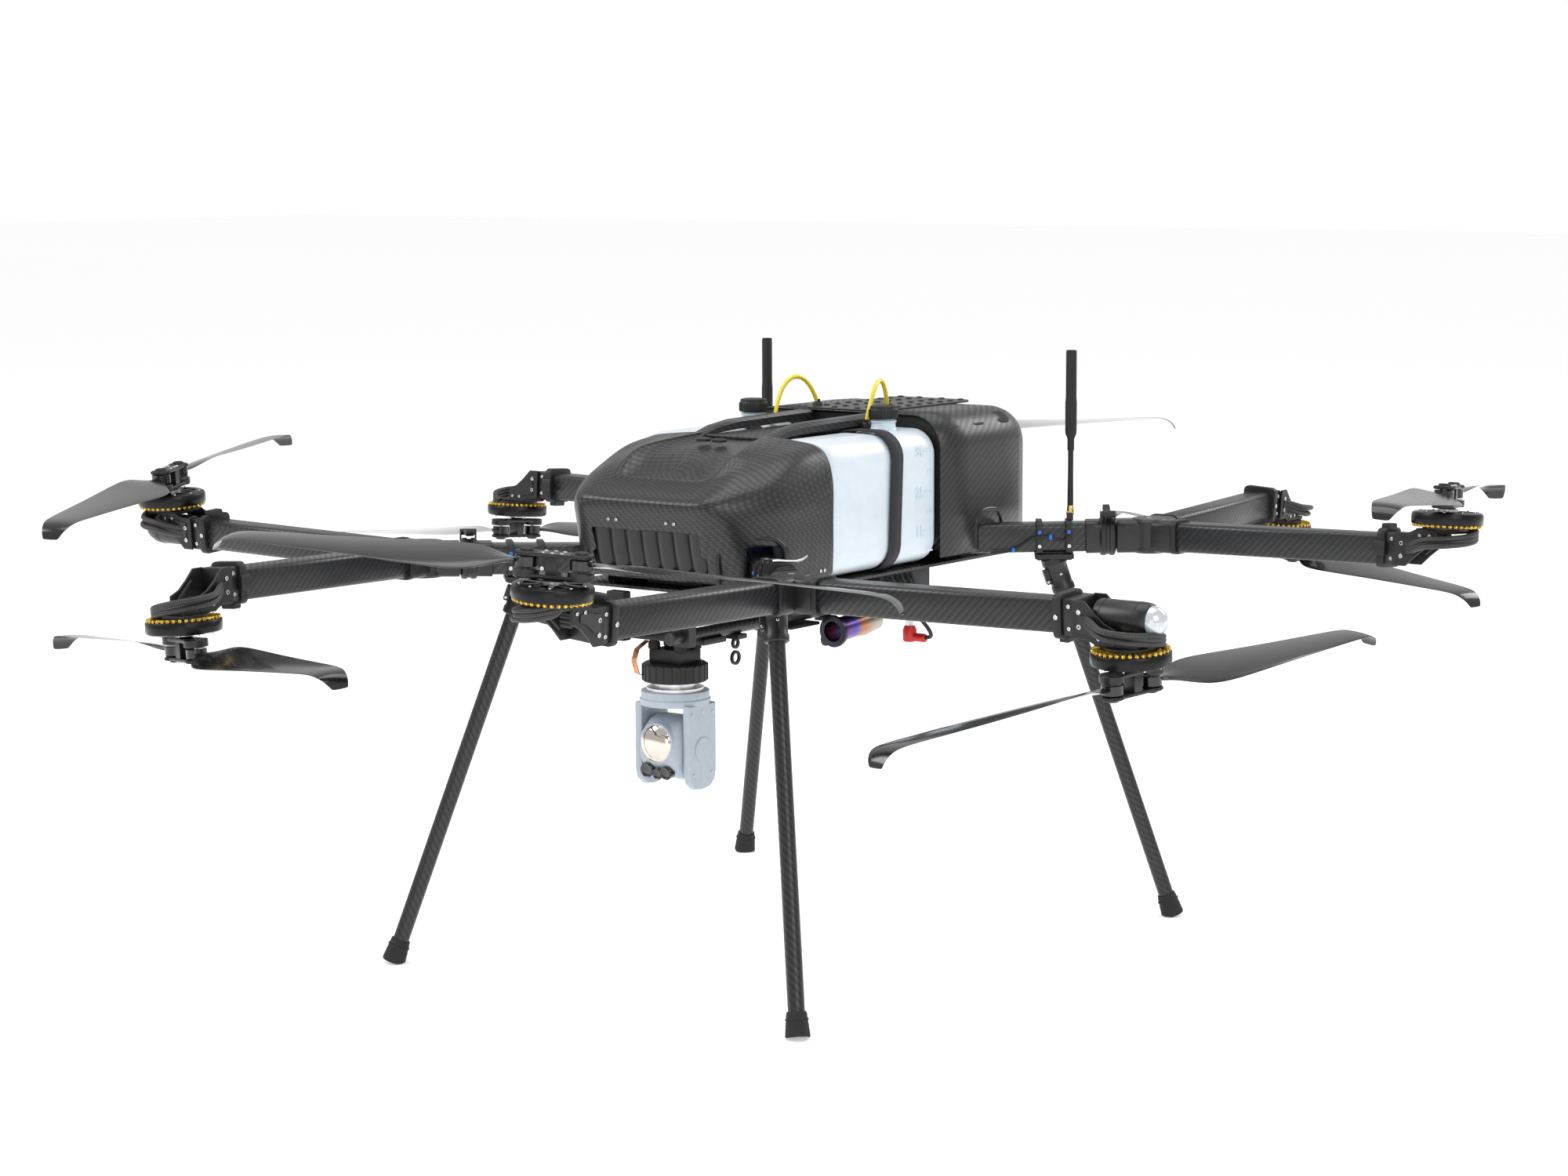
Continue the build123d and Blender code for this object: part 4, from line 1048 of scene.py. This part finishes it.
def build_gimbal():
    y0 = JOINTS["gimbal_pan"]["pos_m"][1] * 1000
    tilt = JOINTS["gimbal_tilt"]["pos_m"][2] * 1000
    mount = Shape()
    mount.box((-62, 62), (y0 - 22, y0 + 22), (411, 418), "black", 1.5)
    mount.box((-24, 24), (y0 - 20, y0 + 20), (383, 400), "black", 2)
    for sx in (-1, 1):
        for sy in (-1, 1):
            mount.at = Matrix.Translation((sx * 20, y0 + sy * 15, 398))
            mount.lathe([(5, 0), (7.5, 3), (7.5, 9), (5, 13)], "rubber", 20)
    mount.at = Matrix.Translation((0, y0, 0))
    mount.lathe([(24, 361), (38.6, 361), (39.4, 362), (39.4, 382), (37.6, 383.4), (20, 383.4)], "black", 60)
    for k in range(24):
        t = 2 * math.pi * k / 24
        mount.rod((38.4 * math.cos(t), 38.4 * math.sin(t), 362), (38.4 * math.cos(t), 38.4 * math.sin(t), 382), 2.5, "black", 10, 1)
    mount.at = Matrix.Identity(4)
    ribbon = []
    for k, (x, y, z) in enumerate(((-26, -236, 410), (-34, -246, 400), (-36, -250, 386), (-33, -247, 370), (-27, -240, 366))):
        ribbon.append([(x - 5, y, z), (x + 5, y - 3, z), (x + 5, y - 2.2, z + .4), (x - 5, y + .8, z + .4)])
    mount.loft(ribbon, "copper")
    mount.done("gimbal_damper_mount", "airframe", ("gimbal_mount",), "motor_black")
    turret = Shape()
    turret.at = Matrix.Translation((0, y0, 0))
    turret.lathe([(24.9, 365), (24.9, 354), (35, 353.6), (35, 348)], "alu", 60, caps=False)
    turret.lathe([(35, 350), (41.5, 349.6), (42, 348), (42, 341), (43.4, 340), (43.4, 334), (42.4, 332.4), (20, 332)], "grey", 60)
    for side in (1, -1):
        keep = turret.at
        turret.at = keep @ plane((side * 32.2, 0, tilt), (side, 0, 0), (0, 1, 0))
        outline = [(-26, -side * -58)]
        shape_pts = []
        for k in range(13):
            t = math.pi * k / 12
            shape_pts.append((27 * math.cos(t), -side * -0 + 0))
        pts = [(-27, 55), (27, 55), (27, -28), (24, -40), (15, -48), (0, -50), (-15, -48), (-24, -40), (-27, -28)]
        zx = turret.at.to_3x3().col[1].z
        turret.prism([(a, b * (1 if zx > 0 else -1)) for a, b in pts], 0, 9.6, "grey", 2.2)
        turret.at = keep
        for dy, dz in ((-20, 44), (20, 44), (0, 46), (-18, -30), (18, -30)):
            turret.screw((side * 41.8, dy, tilt + dz), (side, 0, 0), 1.9)
        turret.at = keep @ plane((side * 41.6, 0, tilt), (side, 0, 0))
        turret.lathe([(15, 0), (15, 1), (14, 1.8), (4, 1.8)], "grey", 40)
        turret.at = keep
    turret.done("gimbal_yoke", "gimbal_turret", ("gimbal_turret",), "gimbal_grey", angle=35)
    ball = Shape()
    ball.at = plane((-31, y0, tilt), (1, 0, 0), (0, 1, 0))
    ball.lathe([(20, 0), (34, 2.5), (38.5, 7), (39.6, 12), (39.6, 50), (38.5, 55), (34, 59.5), (20, 62)], "grey", 72)
    ball.lathe([(7.9, -9), (7.9, 71)], "steel", 24)
    ball.at = plane((0, y0 - 33, tilt + 8), (0, -1, 0))
    ball.lathe([(25, -6), (25.4, 3), (25, 5.4), (22.8, 6)], "grey", 60)
    ball.lathe([(22.9, 5.8), (21.6, 7.4), (18, 9.8), (12, 11.9), (5, 12.9), (1, 13)], "mirror", 60)
    for x, z, r in ((-16, -28, 8), (0, -31, 5.8), (13, -29, 7)):
        ball.at = plane((x, y0 - 33, tilt + z + 2), (0, -1, -.12))
        ball.lathe([(r + 1.6, -4), (r + 1.6, 4), (r + .8, 5), (r, 4), (r * .6, 3.2), (1, 3)], "lens", 32)
    ball.done("camera_ball", "gimbal_camera", ("gimbal_camera",), "gimbal_grey")


def build_underside():
    rails = Shape()
    for side in (1, -1):
        rails.rod((side * 50, -290, 424), (side * 50, 94, 424), 8, "tube", 32)
        for y in (-262, -98, 84):
            rails.box((side * 50 - 13, side * 50 + 13), (y - 7, y + 7), (412, 472), "black", 1.5)
        for y in (-160, 30):
            rails.at = plane((side * 50 - 1.6, y, 0), (1, 0, 0), (0, 1, 0))
            keep = rails.at
            rails.at = keep
            flip = 1 if keep.to_3x3().col[1].z > 0 else -1
            for z, r in ((386, 9), (404, 7)):
                ring_at = keep @ Matrix.Translation((0, flip * z, 0))
                rails.at = ring_at
                rails.lathe([(r - 3.4, 0), (r, 0), (r, 3.2), (r - 3.4, 3.2), (r - 3.4, 0)], "black", 28, caps=False)
            rails.at = Matrix.Identity(4)
            rails.box((side * 50 - 11, side * 50 + 11), (y - 9, y + 9), (410, 416), "black", 1)
    rails.box((-62, 62), (-60, 0), (409, 413), "black", .8)
    for x in (-25, 25):
        for y in (-50, -10):
            rails.screw((x, y, 409), (0, 0, -1), 2.1)
    rails.done("payload_rail_set", "airframe", ("payload_rails",), "carbon_tube")
    pipe = Shape()
    pipe.at = plane((84, 0, 402), (0, 88, 6))
    pipe.lathe([(13, -3), (20, -3), (20, 2), (15.4, 2), (15, 6), (15, 40), (17, 60), (15, 80), (15, 87), (13, 87), (13, 0)], "pipe", 48, caps=False)
    pipe.done("exhaust", "airframe", ("exhaust_pipe",), "exhaust_steel")
    engine = Shape()
    engine.at = plane((25, 96, 448), (0, 1, 0), (1, 0, 0))
    engine.prism(rounded(128, 47, 12), 0, 113, "cast", 2)
    engine.at = Matrix.Translation((70, 190, 0))
    for k in range(6):
        engine.lathe([(14, 398 + k * 5), (24, 398 + k * 5), (24, 400 + k * 5), (14, 400 + k * 5)], "cast", 36)
    engine.lathe([(18, 397), (18, 426)], "cast", 36)
    engine.lathe([(5, 385), (6, 386), (6, 396)], "steel", 6)
    engine.lathe([(8, 365), (9, 367), (9.2, 380), (7, 385.5), (5, 386)], "red", 28)
    engine.rod((0, 0, 371), (25, 0, 371), 5.6, "red", 20, 1)
    engine.at = Matrix.Identity(4)
    engine.wire([(92, 190, 371), (106, 186, 376), (108, 170, 392), (92, 160, 412), (70, 160, 428)], 2.6, "rubber")
    for k in range(6):
        x = -34 + 9 * k
        engine.wire([(x, 100, 430 - k), (x + 6, 92, 440), (x - 4, 90, 455 - 2 * k), (x + 3, 97, 470)], 1.7, "rubber", 6)
        engine.wire([(88, 104 + 12 * k, 462), (95, 108 + 12 * k, 452 - 2 * k), (94, 116 + 12 * k, 440), (88, 112 + 12 * k, 430)],
                    1.9, "braid" if k % 2 else "rubber", 6)
    for y in (110, 130, 150):
        for x in (-30, 80):
            engine.screw((x, y, 424), (0, 0, -1), 2.6)
    engine.done("engine_block", "airframe", ("engine",), "cast_aluminium")


def build_rest():
    for node, key in (("belly_plate", "tube"), ("generator", "motor"), ("avionics_box", "black"), ("battery_pack", "wrap")):
        obj = frame["nodes"][node]
        layer = obj.data.uv_layers.new(name="weave")
        for poly in obj.data.polygons:
            i, j = [(1, 2), (0, 2), (0, 1)][max(range(3), key=lambda a: abs(poly.normal[a]))]
            for loop in poly.loop_indices:
                co = obj.data.vertices[obj.data.loops[loop].vertex_index].co
                layer.data[loop].uv = (co[i], co[j])
        obj.data.materials.clear()
        obj.data.materials.append(MAT[key])


build_stage()
build_hoses()
build_nose()
build_rear()
build_tanks()
for corner, data in CORNERS.items():
    build_fork(corner)
    build_boom(corner)
    for number in data[4]:
        upright = build_arm(corner, number)
        build_rotor(number, corner)
        for letter in "ab":
            build_blade(number, letter, upright)
build_antennas()
build_gimbal()
build_underside()
build_rest()
